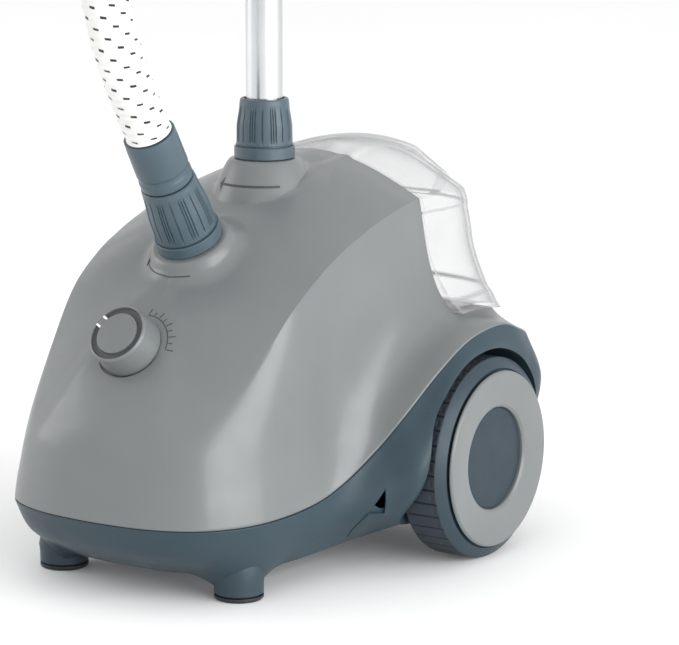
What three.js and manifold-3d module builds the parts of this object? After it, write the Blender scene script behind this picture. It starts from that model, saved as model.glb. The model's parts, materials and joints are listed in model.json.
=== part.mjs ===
// Upright garment steamer: a wheeled boiler base with a lift-off water tank, a
// telescopic pole with a clothes hanger on top, and a steam hose with its head.
// Units are millimetres, +Z is up and -Y is the front. The origin is on the
// floor, in the middle of the base.
import * as THREE from 'three';
import { mergeVertices } from 'three/addons/utils/BufferGeometryUtils.js';
import Module from 'manifold-3d';

const wasm = await Module();
wasm.setup();

// ---------------------------------------------------------------- dimensions
const GAP = 0.35;                 // clearance between neighbouring solids
const WALL = 2.6;                 // moulded wall thickness
const RING_STEPS = 44;            // body samples round the base

const WHEEL = { y: 67.5, z: 68, radius: 68, inner: 122, rim: 154.3, face: 157.8 };
const WHEEL_WELL = { radius: 74, inner: 118, outer: 175 };
const HUB = { discRadius: 59.6, capRadius: 34.1, capDepth: 4, seat: 50, boss: 14, web: 140, floor: 151 };
const AXLE_RADIUS = 5;
const WHEEL_SIDES = 32;
const FOOT = { x: 71.8, y: -112.8, radius: 16.4, pad: 3, top: 27 };

const TANK_FRONT = 78;            // y of the split between shell and tank
const POLE_Y = 19.1;
const POLE_COLLAR = { bottom: 265.5, height: 40, base: 20.5, top: 16.4 };
const HOSE_SEAT = new THREE.Vector3(0, -65.9, 221.8);
const HOSE_AXIS = new THREE.Vector3(0, -0.503, 0.864).normalize();
const HOSE_COLLAR = { height: 47.7, base: 22.4, top: 18.4 };
const DIAL_SEAT = new THREE.Vector3(0, -129.6, 159);
const DIAL_AXIS = new THREE.Vector3(0, -0.78, 0.62).normalize();
const DIAL = { height: 20.6, radius: 20.4, shaft: 3.2, outer: 18.8, inner: 14.6, groove: 2.4 };

// Telescopic pole: outside radius, wall, bottom and top of each tube.
const TUBE_WALL = 1.2;
const TUBES = [
  { name: 'pole_tube_1', radius: 12.4, bottom: 182, top: 600 },
  { name: 'pole_tube_2', radius: 10.9, bottom: 385, top: 898 },
  { name: 'pole_tube_3', radius: 9.4, bottom: 690, top: 1208 },
  { name: 'pole_tube_4', radius: 7.9, bottom: 1000, top: 1530 },
];
const CLAMP = { height: 34, radius: 17.5, seat: 12 };
const LEVER = { offset: 4.5, width: 14 };
const ARM_ROUTE = [
  [24.5, 1546], [40, 1543], [52, 1522], [64, 1500], [110, 1479],
  [152, 1459], [182, 1443], [197, 1424], [200, 1392]];
const HANGER = { y: 43, width: 19, thickness: 12, notchX: 140, barZ: 1398, barRadius: 1.8 };
const HEAD = { y: -45, z: 1618, bottom: 1560.5, halfWidth: 64, plateY: -79, way: 9 };
const GRIP = { bottom: 1417, top: 1560, radius: 23, bore: 17.6, boreTop: 1500 };
const HOSE_RADIUS = 15.5;
const CUFF = { bore: 11, inside: -22, shoulder: 48.5, end: 86, neck: 12.6, radius: 17.2 };

const DECK = { front: 160.5, archY: 125, arch: 163, back: 138 };
// Raised band over the bonnet and tank: y, height, half width on top and at
// the foot of its sloping sides, and how far those sides drop.
const SPINE = [
  [-5, 240, 24, 44, 8], [20, 253.5, 32, 48, 9], [45, 258.6, 30, 46, 9.5], [78, 262, 28, 44, 9.5],
  [92, 263.5, 28, 45, 12], [110, 264.5, 29, 48, 15], [128, 264, 30, 52, 17],
  [146, 262, 31, 55, 18], [158, 258.5, 32, 56, 16], [168, 250, 32, 55, 13]];
const SPINE_CROWN = { rise: 4.5, from: 78, over: 30 };
const SOCKET = { radius: 19 };
const TANK_NECK = { radius: 17, wall: 2.2, at: new THREE.Vector3(0, 122, 161) };
const CAP_RADIUS = TANK_NECK.radius - TANK_NECK.wall - GAP;
const BOILER = { y: -62, z: 52, radius: 42 };
const DRAIN = { y: 10, radius: 12 };
const GLAND = { radius: 8, at: new THREE.Vector3(62, 171, 60) };
const SCREW = { head: 4.5, shank: 2, seat: 13.4, step: 16.4, tip: 30 };
const SCREWS = [[-60, -60], [60, -60], [-60, 120], [60, 120]];
// Centre line of the hose, from its cuff on the base to inside the grip.
const HOSE_ROUTE = [
  [0, -109.4, 296.6], [-1, -127, 328], [-3, -141, 362], [-5, -148, 398],
  [-4, -148, 435], [1, -140, 475], [9, -125, 518], [19, -106, 566],
  [29, -86, 620], [38, -68, 680], [44, -54, 750], [47, -45, 830],
  [46, -42, 920], [42, -42, 1010], [34, -43, 1100], [24, -44, 1190],
  [14, -45, 1275], [6, -45, 1350], [1.5, -45, 1410], [0, -45, 1450],
  [0, -45, 1482]];

// ---------------------------------------------------------------- materials
const paint = (color, roughness, metalness = 0) =>
  new THREE.MeshStandardMaterial({ color, roughness, metalness });
const SHELL_GREY = paint(0x979c9d, 0.28);
const SLATE = paint(0x566570, 0.35);
const TYRE_SLATE = paint(0x3f4a53, 0.75);
const CAP_SLATE = paint(0x505e69, 0.5);
const DARK = paint(0x24282c, 0.5);
const CLEAR = new THREE.MeshStandardMaterial({
  color: 0xe9edef, roughness: 0.08, transparent: true, opacity: 0.35 });
const STEEL = paint(0xb9bcbf, 0.3, 1);
const ALUMINIUM = paint(0xc9cccf, 0.25, 1);
const WHITE_HOSE = paint(0xe8e8e6, 0.8);
const BRASS = paint(0xb08d4a, 0.35, 1);
const NYLON = paint(0xd9d6cc, 0.6);

// ---------------------------------------------------------------- helpers
const model = new THREE.Group();

function addPart(name, geometry, material) {
  const mesh = new THREE.Mesh(geometry, material);
  mesh.name = name;
  model.add(mesh);
  return mesh;
}

function toSolid(geometry) {
  const bare = geometry.clone();
  for (const key of Object.keys(bare.attributes)) {
    if (key !== 'position') bare.deleteAttribute(key);
  }
  const welded = mergeVertices(bare, 1e-4);
  return new wasm.Manifold(new wasm.Mesh({
    numProp: 3,
    vertProperties: new Float32Array(welded.attributes.position.array),
    triVerts: new Uint32Array(welded.index.array),
  }));
}

function toGeometry(solid) {
  const mesh = solid.getMesh();
  const geometry = new THREE.BufferGeometry();
  geometry.setAttribute('position', new THREE.BufferAttribute(mesh.vertProperties, 3));
  geometry.setIndex(new THREE.BufferAttribute(mesh.triVerts, 1));
  return geometry;
}

function cut(body, ...tools) {
  let solid = toSolid(body);
  for (const tool of tools) solid = solid.subtract(toSolid(tool));
  return toGeometry(solid);
}

function join(body, ...others) {
  let solid = toSolid(body);
  for (const other of others) solid = solid.add(toSolid(other));
  return toGeometry(solid);
}

function common(a, b) {
  return toGeometry(toSolid(a).intersect(toSolid(b)));
}

function box(x0, x1, y0, y1, z0, z1) {
  const geometry = new THREE.BoxGeometry(x1 - x0, y1 - y0, z1 - z0);
  geometry.translate((x0 + x1) / 2, (y0 + y1) / 2, (z0 + z1) / 2);
  return geometry;
}

// A turned body round +Z. profile is [radius, height] pairs; a profile that
// doesn't start and end on the axis closes on itself, which leaves a bore.
function turned(profile, sides = 18) {
  const points = profile.map(([r, h]) => new THREE.Vector2(r, h));
  const onAxis = profile[0][0] === 0 && profile[profile.length - 1][0] === 0;
  if (!onAxis) points.push(points[0].clone());
  const geometry = new THREE.LatheGeometry(points, sides);
  geometry.rotateX(Math.PI / 2);
  return geometry;
}

function rod(radius, bottom, top, sides = 18) {
  return turned([[0, bottom], [radius, bottom], [radius, top], [0, top]], sides);
}

// Moves a body made round +Z so that its origin sits at seat and +Z runs along axis.
function aimed(geometry, seat, axis) {
  const turn = new THREE.Quaternion().setFromUnitVectors(new THREE.Vector3(0, 0, 1), axis);
  const placed = geometry.clone();
  placed.applyQuaternion(turn);
  placed.translate(seat.x, seat.y, seat.z);
  return placed;
}

const alongX = (geometry, side = 1) =>
  aimed(geometry, new THREE.Vector3(0, WHEEL.y, WHEEL.z), new THREE.Vector3(side, 0, 0));

function circle(radius, sides) {
  const shape = new THREE.Shape();
  for (let i = 0; i < sides; i += 1) {
    const a = (i / sides) * 2 * Math.PI;
    const x = radius * Math.cos(a);
    const y = radius * Math.sin(a);
    if (i === 0) shape.moveTo(x, y);
    else shape.lineTo(x, y);
  }
  return shape;
}

function pipe(points, radius, sides, steps) {
  const path = new THREE.CatmullRomCurve3(points.map((p) => new THREE.Vector3(...p)));
  return new THREE.ExtrudeGeometry(circle(radius, sides), { steps, extrudePath: path });
}

// A flat bar of constant width that follows a curve in the XZ plane.
function curvedBar(points, width, thickness, y, steps) {
  const path = new THREE.CatmullRomCurve3(points.map(([x, z]) => new THREE.Vector3(x, z, 0)));
  const near = [];
  const far = [];
  for (let i = 0; i <= steps; i += 1) {
    const p = path.getPoint(i / steps);
    const t = path.getTangent(i / steps);
    near.push(new THREE.Vector2(p.x - (t.y * width) / 2, p.y + (t.x * width) / 2));
    far.unshift(new THREE.Vector2(p.x + (t.y * width) / 2, p.y - (t.x * width) / 2));
  }
  const shape = new THREE.Shape(near.concat(far));
  const geometry = new THREE.ExtrudeGeometry(shape, { depth: thickness, bevelEnabled: false });
  geometry.rotateX(Math.PI / 2);
  geometry.translate(0, y + thickness / 2, 0);
  return geometry;
}

// ---------------------------------------------------------------- body guides
// Guide curves of the right-hand half, nose to tail, as [x, y, z]. The left
// half mirrors them. SEAM is the joint of shell and chassis, HIP the start of
// the flare over the wheel, CREASE the edge of the bonnet, CROWN its middle.
const SEAM = [
  [0, -178.5, 54], [46, -173.5, 54], [78, -156, 54], [96, -122, 54],
  [101, -75, 56], [106, -45, 65], [118, -22, 86], [130, -6, 108],
  [139, 22, 134], [143, 54, 151], [146, 88, 156], [146, 112, 149],
  [135, 137, 141], [98, 164, 139], [50, 172, 138], [0, 174, 138]];
const HIP = [
  [0, -176, 72], [45, -171, 72], [76, -154, 72], [93, -121, 74],
  [98, -76, 80], [101, -47, 88], [106, -22, 108], [110, 0, 126],
  [112, 26, 146], [112, 56, 160], [112, 80, 163], [112, 108, 161],
  [107, 136, 157], [84, 157, 153], [45, 165, 152], [0, 167, 151]];
const CREASE = [
  [0, -168, 112], [38, -163, 112], [64, -149, 113], [80, -118, 139],
  [88, -80, 180], [90, -50, 201], [90, -25, 213], [90, -3, 221],
  [90, 24, 229], [89, 54, 235], [86, 80, 237], [88, 110, 238],
  [86, 133, 236], [66, 150, 238], [35, 158, 240], [0, 161, 241]];
const CROWN = [
  [0, -79, 203], [0, -76, 205], [0, -69, 209], [0, -57, 216],
  [0, -40, 226], [0, -22, 236], [0, -5, 244], [0, 12, 251],
  [0, 34, 257], [0, 58, 262], [0, 80, 264], [0, 100, 267],
  [0, 116, 268], [0, 128, 268], [0, 134, 267], [0, 136, 267]];
// BELLY is the widest line of the chassis and KEEL the edge of its floor.
const BELLY = [
  [0, -168, 34], [44, -163, 34], [74, -147, 34], [92, -115, 35],
  [98, -72, 37], [106, -42, 42], [130, -22, 58], [148, -9, 74],
  [150, 16, 118], [150, 52, 138], [150, 88, 142], [150, 116, 130],
  [143, 145, 105], [104, 169, 95], [52, 177, 92], [0, 178.5, 90]];
const KEEL = [
  [0, -140, 17], [40, -136, 17], [66, -121, 17], [84, -90, 18],
  [90, -55, 19], [92, -28, 20], [98, -8, 22], [118, 2, 30],
  [114, 26, 26], [112, 54, 26], [112, 88, 26], [112, 112, 26],
  [108, 135, 26], [88, 152, 25], [45, 160, 25], [0, 162, 25]];
// How hard the crease is at each station, and how much the flank flares out.
const EDGE = [0, 0, 0.05, 0.3, 0.75, 1, 1, 1, 1, 1, 1, 0.8, 0.6, 0.6, 0.6, 0.6];
const FLARE = [0, 0, 0, 0, 0.1, 0.35, 0.7, 0.9, 1, 1, 1, 1, 0.8, 0.6, 0.5, 0.5];

// Closes a half guide into a loop through its mirror image.
function mirrored(half) {
  const right = half.map(([x, y, z]) => new THREE.Vector3(x, y, z));
  const left = right.slice(1, -1).reverse().map((p) => new THREE.Vector3(-p.x, p.y, p.z));
  return new THREE.CatmullRomCurve3(right.concat(left), true, 'catmullrom', 0.5);
}
const guide = {
  seam: mirrored(SEAM), hip: mirrored(HIP), crease: mirrored(CREASE),
  crown: mirrored(CROWN), belly: mirrored(BELLY), keel: mirrored(KEEL),
  edge: mirrored(EDGE.map((e) => [0, e, 0])), flare: mirrored(FLARE.map((f) => [0, f, 0])),
};

function hermite(a, ta, b, tb, t) {
  const t2 = t * t;
  const t3 = t2 * t;
  return a.clone().multiplyScalar(2 * t3 - 3 * t2 + 1)
    .addScaledVector(ta, t3 - 2 * t2 + t)
    .addScaledVector(b, 3 * t2 - 2 * t3)
    .addScaledVector(tb, t3 - t2);
}

const unit = (v) => v.clone().normalize();
const UP = new THREE.Vector3(0, 0, 1);

// One rib of the bonnet, from the seam (v = 0) to the crown line (v = 1), at
// the place along the right-hand half, nose (s = 0) to tail (s = 1).
function bonnetPoint(s, v) {
  const u = s / 2;
  const seam = guide.seam.getPoint(u);
  const hip = guide.hip.getPoint(u);
  const crease = guide.crease.getPoint(u);
  const crown = guide.crown.getPoint(u);
  const next = guide.crown.getPoint(Math.min(0.5, u + 0.02));
  const ahead = next.sub(guide.crown.getPoint(Math.max(0, u - 0.02)));
  const edge = guide.edge.getPoint(u).y;
  const flare = guide.flare.getPoint(u).y;
  const skirt = hip.clone().sub(seam);
  const flank = crease.clone().sub(hip);
  const roof = crown.clone().sub(crease);
  const rise = unit(flank).lerp(UP, 0.35 * flare).normalize();
  const atHip = unit(skirt).add(rise.clone().multiplyScalar(0.8)).normalize();
  const soft = unit(flank).add(unit(roof)).normalize();
  const below = soft.clone().lerp(rise, edge).normalize();
  const lift = new THREE.Vector3(roof.x, roof.y, roof.z * 1.7).normalize();
  const above = soft.clone().lerp(lift, edge).normalize();
  const slope = Math.abs(ahead.y) > 1e-6 ? ahead.z / ahead.y : 0;
  const atCrown = new THREE.Vector3(roof.x, roof.y, roof.y * slope).normalize();
  const third = v * 3;
  if (third <= 1) {
    const start = unit(skirt).lerp(new THREE.Vector3(-1, 0, 0.25), 0.5 * flare);
    return hermite(seam, start.multiplyScalar(skirt.length()),
      hip, atHip.multiplyScalar(skirt.length()), third);
  }
  if (third <= 2) {
    return hermite(hip, atHip.multiplyScalar(flank.length()),
      crease, below.multiplyScalar(flank.length()), third - 1);
  }
  return hermite(crease, above.multiplyScalar(roof.length()),
    crown, atCrown.multiplyScalar(roof.length()), third - 2);
}

// One rib of the chassis, from the seam (v = 0) under the belly to the floor (v = 1).
function chassisPoint(s, v) {
  const u = s / 2;
  const seam = guide.seam.getPoint(u);
  seam.z -= 2 * GAP;
  const belly = guide.belly.getPoint(u);
  const keel = guide.keel.getPoint(u);
  const upper = belly.clone().sub(seam);
  const lower = keel.clone().sub(belly);
  const turn = unit(upper).add(unit(lower)).normalize();
  const third = v * 3;
  if (third <= 1) {
    return hermite(seam, upper.clone().multiplyScalar(0.9),
      belly, turn.multiplyScalar(upper.length()), third);
  }
  if (third <= 2) {
    return hermite(belly, turn.multiplyScalar(lower.length()),
      keel, lower.clone().multiplyScalar(0.9), third - 1);
  }
  return keel.clone().lerp(new THREE.Vector3(0, keel.y, keel.z), third - 2);
}

// The skin's outward direction, found beside the point so that it also holds
// on the middle plane and where ribs meet.
function skinNormal(pointAt, s, v) {
  const step = 2e-3;
  const sn = THREE.MathUtils.clamp(s, 3 * step, 1 - 3 * step);
  const vn = THREE.MathUtils.clamp(v, 3 * step, 1 - 3 * step);
  const ds = pointAt(sn + step, vn).sub(pointAt(sn - step, vn));
  const dv = pointAt(sn, vn + step).sub(pointAt(sn, vn - step));
  const normal = ds.cross(dv).normalize();
  return pointAt === chassisPoint ? normal.negate() : normal;
}

// A closed body from mirrored ribs that all end on the middle plane, with a
// lid of straight lines across its seam. inset moves the skin inwards, and
// reach carries the lid past the seam, so that an inset body opens the skin.
function loft(pointAt, rows, inset = 0, reach = 0) {
  const half = RING_STEPS / 2;
  const ribs = [];
  for (let i = 0; i <= half; i += 1) {
    const s = i / half;
    const rib = rows.map((v) => {
      const p = pointAt(s, v);
      if (inset !== 0) p.addScaledVector(skinNormal(pointAt, s, v), -inset);
      if (v === 0) p.z += reach;
      if (v === 1 || i === 0 || i === half) p.x = 0;
      return p;
    });
    rib.unshift(new THREE.Vector3(0, rib[0].y, rib[0].z));
    ribs.push(rib);
  }
  const positions = [];
  const quad = (a, b, c, d) => positions.push(...a, ...b, ...c, ...a, ...c, ...d);
  for (const side of [1, -1]) {
    const at = (i, j) => [side * ribs[i][j].x, ribs[i][j].y, ribs[i][j].z];
    for (let i = 0; i < half; i += 1) {
      for (let j = 0; j + 1 < ribs[0].length; j += 1) {
        const loop = [at(i, j), at(i + 1, j), at(i + 1, j + 1), at(i, j + 1)];
        if (side < 0) loop.reverse();
        quad(...loop);
      }
    }
  }
  const geometry = new THREE.BufferGeometry();
  geometry.setAttribute('position', new THREE.Float32BufferAttribute(positions, 3));
  return withoutSlivers(geometry);
}

// Drops the flat triangles where a rib runs along the middle plane, and turns
// the skin outwards.
function withoutSlivers(geometry) {
  const welded = mergeVertices(geometry, 1e-3);
  const kept = [];
  const index = welded.index.array;
  for (let i = 0; i < index.length; i += 3) {
    const [a, b, c] = [index[i], index[i + 1], index[i + 2]];
    if (a !== b && b !== c && c !== a) kept.push(a, b, c);
  }
  welded.setIndex(kept);
  if (toSolid(welded).volume() > 0) return welded;
  for (let i = 0; i < kept.length; i += 3) [kept[i + 1], kept[i + 2]] = [kept[i + 2], kept[i + 1]];
  welded.setIndex(kept);
  return welded;
}

// The raised band as one body, sunk into the skin. inset makes its hollow.
function spineBody(inset) {
  const rings = SPINE.map(([y, top, half, foot, drop], i) => {
    const last = i === SPINE.length - 1;
    const z = top - inset;
    const low = z - drop;
    const crown = SPINE_CROWN.rise * THREE.MathUtils.clamp((y - SPINE_CROWN.from) / SPINE_CROWN.over, 0, 1);
    const right = [[half - 0.4 * inset, z], [foot - inset, low], [foot - 12, low - 14]];
    const left = right.map(([x, h]) => [-x, h]).reverse();
    return [[0, z + crown], ...right, ...left].map(([x, h]) => [x, last ? y - inset : y, h]);
  });
  const positions = [];
  const triangle = (a, b, c) => positions.push(...a, ...b, ...c);
  const sides = rings[0].length;
  for (let i = 0; i + 1 < rings.length; i += 1) {
    for (let j = 0; j < sides; j += 1) {
      const k = (j + 1) % sides;
      triangle(rings[i][j], rings[i + 1][j], rings[i + 1][k]);
      triangle(rings[i][j], rings[i + 1][k], rings[i][k]);
    }
  }
  for (const [ring, turn] of [[rings[0], 0], [rings[rings.length - 1], 1]]) {
    for (let j = 1; j + 1 < sides; j += 1) {
      triangle(ring[0], ring[j + turn], ring[j + 1 - turn]);
    }
  }
  const geometry = new THREE.BufferGeometry();
  geometry.setAttribute('position', new THREE.Float32BufferAttribute(positions, 3));
  return withoutSlivers(geometry);
}

const bonnetRows = [0, 0.17, 1 / 3, 0.5, 2 / 3, 0.78, 0.9, 1];
const chassisRows = [0, 0.17, 1 / 3, 0.5, 2 / 3, 1];
const bodySolid = join(loft(bonnetPoint, bonnetRows), spineBody(0));
const bodyHollow = join(loft(bonnetPoint, bonnetRows, WALL, -4), spineBody(WALL));
const chassisSolid = loft(chassisPoint, chassisRows);
const chassisHollow = loft(chassisPoint, chassisRows, WALL, 4);

// ---------------------------------------------------------------- cutting bodies
// A prism across X whose side view is everything above the arched tank deck
// and behind the plane y = front. lift raises the deck line.
function aboveDeck(front, lift) {
  const side = new THREE.Shape();
  side.moveTo(front, 300);
  side.lineTo(front, DECK.front + lift);
  side.quadraticCurveTo(DECK.archY, DECK.arch + lift, 200, DECK.back + lift);
  side.lineTo(200, 300);
  const prism = new THREE.ExtrudeGeometry(side, {
    depth: 400, bevelEnabled: false, curveSegments: 8 });
  // (y, z, x) of the extrusion becomes (x, y, z)
  prism.applyMatrix4(new THREE.Matrix4().set(
    0, 0, 1, -200,
    1, 0, 0, 0,
    0, 1, 0, 0,
    0, 0, 0, 1));
  return prism;
}

// A cylinder along X from |x| = inner to |x| = outer, centred on the axle.
function axial(radius, inner, outer, side, sides = 36) {
  return alongX(rod(radius, inner, outer, sides), side);
}

// ---------------------------------------------------------------- shell
const poleSeat = new THREE.Vector3(0, POLE_Y, POLE_COLLAR.bottom - GAP);
const hoseSeat = HOSE_SEAT.clone().addScaledVector(HOSE_AXIS, -GAP);
const boss = (depth) => turned([
  [0, -depth], [43, -depth], [35, -9], [28.5, -4.5], [26, 0], [0, 0]], 28);
const poleBoss = aimed(boss(16), poleSeat, UP);
const hoseBoss = aimed(boss(19), hoseSeat, HOSE_AXIS);

function makeShell() {
  const outer = join(cut(bodySolid, aboveDeck(TANK_FRONT, 0)), poleBoss, hoseBoss);
  const hollow = cut(bodyHollow, aboveDeck(TANK_FRONT - WALL, -WALL));
  const poleHole = aimed(rod(SOCKET.radius + GAP, -90, 20), poleSeat, UP);
  const hoseHole = aimed(rod(SOCKET.radius + GAP, -40, 20), hoseSeat, HOSE_AXIS);
  const dialHole = aimed(rod(DIAL.shaft + 2 * GAP, -30, 20, 16), DIAL_SEAT, DIAL_AXIS);
  const outlet = aimed(rod(TANK_NECK.radius + 1.4, -30, 20), TANK_NECK.at, UP);
  const dialSeat = aimed(rod(DIAL.radius + 3, 1.1, 30), DIAL_SEAT, DIAL_AXIS);
  return cut(outer, hollow, poleHole, hoseHole, dialHole, dialSeat, outlet);
}

// ---------------------------------------------------------------- chassis
function makeChassis() {
  let tray = toSolid(chassisSolid).subtract(toSolid(chassisHollow));
  for (const side of [1, -1]) {
    const liner = axial(WHEEL_WELL.radius + WALL, WHEEL_WELL.inner - WALL, WHEEL_WELL.outer, side);
    tray = tray.add(toSolid(liner).intersect(toSolid(chassisSolid)));
  }
  for (const x of [-FOOT.x, FOOT.x]) {
    const column = turned([
      [0, FOOT.pad + GAP], [FOOT.radius, FOOT.pad + GAP], [FOOT.radius, 14],
      [FOOT.radius + 1.5, 20], [FOOT.radius + 1.5, FOOT.top], [0, FOOT.top]], 24);
    column.translate(x, FOOT.y, 0);
    tray = tray.add(toSolid(column));
  }
  for (const side of [1, -1]) {
    tray = tray.subtract(toSolid(axial(WHEEL_WELL.radius, WHEEL_WELL.inner, WHEEL_WELL.outer, side)));
  }
  tray = tray.subtract(toSolid(axial(AXLE_RADIUS + GAP, -200, 200, 1, 16)));
  const drain = rod(DRAIN.radius + GAP, 0, 40);
  drain.translate(0, DRAIN.y, 0);
  tray = tray.subtract(toSolid(drain));
  const glandHole = aimed(rod(GLAND.radius + GAP, -60, 40, 20), GLAND.at, new THREE.Vector3(0, 1, 0));
  tray = tray.subtract(toSolid(glandHole));
  for (const [x, y] of SCREWS) {
    const hole = rod(SCREW.shank + GAP, 0, 40, 10);
    hole.translate(x, y, 0);
    tray = tray.subtract(toSolid(hole));
  }
  return toGeometry(tray);
}

function makeTank() {
  const lift = 0.6;
  const outer = common(bodySolid, aboveDeck(TANK_FRONT + lift, lift));
  const inner = common(bodyHollow, aboveDeck(TANK_FRONT + lift + WALL, lift + WALL));
  const neck = aimed(rod(TANK_NECK.radius, -14, 6), TANK_NECK.at, UP);
  const bore = aimed(rod(TANK_NECK.radius - TANK_NECK.wall, -20, 12), TANK_NECK.at, UP);
  return cut(join(cut(outer, inner), neck), bore);
}

addPart('upper_shell', makeShell(), SHELL_GREY);
addPart('lower_chassis', makeChassis(), SLATE);
addPart('water_tank', makeTank(), CLEAR);

// ---------------------------------------------------------------- base fittings
const sides = [['left', -1], ['right', 1]];

for (const [name, side] of sides) {
  const pad = turned([[0, 0], [FOOT.radius - 1.5, 0], [FOOT.radius, 1.5],
    [FOOT.radius, FOOT.pad], [0, FOOT.pad]]);
  pad.translate(side * FOOT.x, FOOT.y, 0);
  addPart(`foot_pad_${name}`, pad, DARK);
}

SCREWS.forEach(([x, y], i) => {
  const screw = turned([[0, SCREW.seat], [SCREW.head, SCREW.seat], [SCREW.head, SCREW.step],
    [SCREW.shank, SCREW.step], [SCREW.shank, SCREW.tip], [0, SCREW.tip]], 12);
  screw.translate(x, y, 0);
  addPart(`chassis_screw_${i + 1}`, screw, STEEL);
});

const drainPlug = turned([[0, 11], [15, 11], [15, 16.2], [DRAIN.radius, 16.2],
  [DRAIN.radius, 27], [0, 27]]);
drainPlug.translate(0, DRAIN.y, 0);
addPart('drain_plug', drainPlug, DARK);

addPart('cord_gland', aimed(turned([[3.6, -14], [GLAND.radius, -14], [GLAND.radius, 0],
  [6, 6], [3.6, 6]], 20), GLAND.at, new THREE.Vector3(0, 1, 0)), DARK);

const poleSocket = turned([[13.3, -90], [SOCKET.radius, -90], [SOCKET.radius, 0], [13.3, 0]]);
addPart('pole_socket', aimed(poleSocket, poleSeat, UP), SLATE);
const hoseSocket = turned([[13.3, -38], [SOCKET.radius, -38], [SOCKET.radius, 0], [13.3, 0]]);
addPart('hose_socket', aimed(hoseSocket, hoseSeat, HOSE_AXIS), SLATE);

const boilerBody = turned([[0, 0], [BOILER.radius, 0], [BOILER.radius, 44],
  [34, 54], [12, 58], [0, 58]], 28);
boilerBody.translate(0, BOILER.y, BOILER.z);
addPart('boiler', boilerBody, ALUMINIUM);
const ring = new THREE.TorusGeometry(28, 5, 6, 20);
ring.translate(0, BOILER.y, BOILER.z - 5.6);
addPart('heating_element', ring, STEEL);
const disc = (radius, bottom, top, x, y) => rod(radius, bottom, top, 16).translate(x, y, 0);
addPart('thermostat', disc(9, BOILER.z + 58.6, BOILER.z + 66, 27, BOILER.y), BRASS);
addPart('thermal_fuse', disc(6, BOILER.z + 58.6, BOILER.z + 68, -27, BOILER.y), NYLON);
const steamRoute = [
  [0, -56, BOILER.z + 59.4], [0, -54, 128], [0, -50, 150], [0, -47.5, 164], [0, -46.4, 170]];
addPart('steam_tube', pipe(steamRoute, 6, 10, 6), NYLON);
addPart('inlet_valve', aimed(turned([[0, -46], [5.5, -46], [5.5, -30], [10, -30],
  [10, -21], [0, -21]], 16), TANK_NECK.at, UP), DARK);
const waterRoute = [
  [0, TANK_NECK.at.y, 112], [0, TANK_NECK.at.y - 1, 104], [0, 108, 93], [0, 88, 88],
  [0, 50, 86], [0, 20, 82], [0, 0, 80], [0, BOILER.y + BOILER.radius + 0.5, 79]];
addPart('water_tube', pipe(waterRoute, 4.5, 8, 16), NYLON);
addPart('terminal_block', box(34, 74, -52, -30, 26, 46), NYLON);

// ---------------------------------------------------------------- tank closure
addPart('tank_cap', aimed(turned([[3.4, -17], [11, -17], [CAP_RADIUS, -15],
  [CAP_RADIUS, -4], [3.4, -4]], 24), TANK_NECK.at, UP), DARK);
addPart('tank_valve', aimed(turned([[0, -20.5], [3, -20.5], [3, -3.5], [7, -3.5],
  [7, 0], [0, 0]], 16), TANK_NECK.at, UP), STEEL);

// ---------------------------------------------------------------- dial
const grooveFloor = DIAL.height - DIAL.groove;
const knob = turned([
  [0, 1.6], [DIAL.radius + 1.6, 1.6], [DIAL.radius, DIAL.height - 1.5],
  [DIAL.radius - 1.2, DIAL.height], [DIAL.outer, DIAL.height], [DIAL.outer, grooveFloor],
  [DIAL.inner, grooveFloor], [DIAL.inner, DIAL.height], [0, DIAL.height]], 24);
addPart('dial_knob', aimed(knob, DIAL_SEAT, DIAL_AXIS), SHELL_GREY);
const insert = turned([
  [DIAL.inner + GAP, grooveFloor + GAP], [DIAL.outer - GAP, grooveFloor + GAP],
  [DIAL.outer - GAP, DIAL.height - 1], [DIAL.inner + GAP, DIAL.height - 1]], 24);
addPart('dial_ring', aimed(insert, DIAL_SEAT, DIAL_AXIS), DARK);
addPart('dial_shaft', aimed(rod(DIAL.shaft, -16, 1.2, 12), DIAL_SEAT, DIAL_AXIS), BRASS);
const switchBody = new THREE.BoxGeometry(30, 24, 16);
switchBody.translate(0, 0, -25);
addPart('control_switch', aimed(switchBody, DIAL_SEAT, DIAL_AXIS), NYLON);

// ---------------------------------------------------------------- lock collars
function collar(height, base, top, bore) {
  return turned([[bore, 0], [base, 0], [base, 8], [base - 1.5, 9.5], [base - 1.2, 12],
    [top + 0.8, height - 6], [top, height - 4], [top, height], [bore, height]], 20);
}
addPart('pole_collar', aimed(collar(POLE_COLLAR.height, POLE_COLLAR.base, POLE_COLLAR.top, 12.9),
  new THREE.Vector3(0, POLE_Y, POLE_COLLAR.bottom), UP), SLATE);
addPart('hose_collar', aimed(collar(HOSE_COLLAR.height, HOSE_COLLAR.base, HOSE_COLLAR.top, 13.2),
  HOSE_SEAT, HOSE_AXIS), SLATE);

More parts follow.
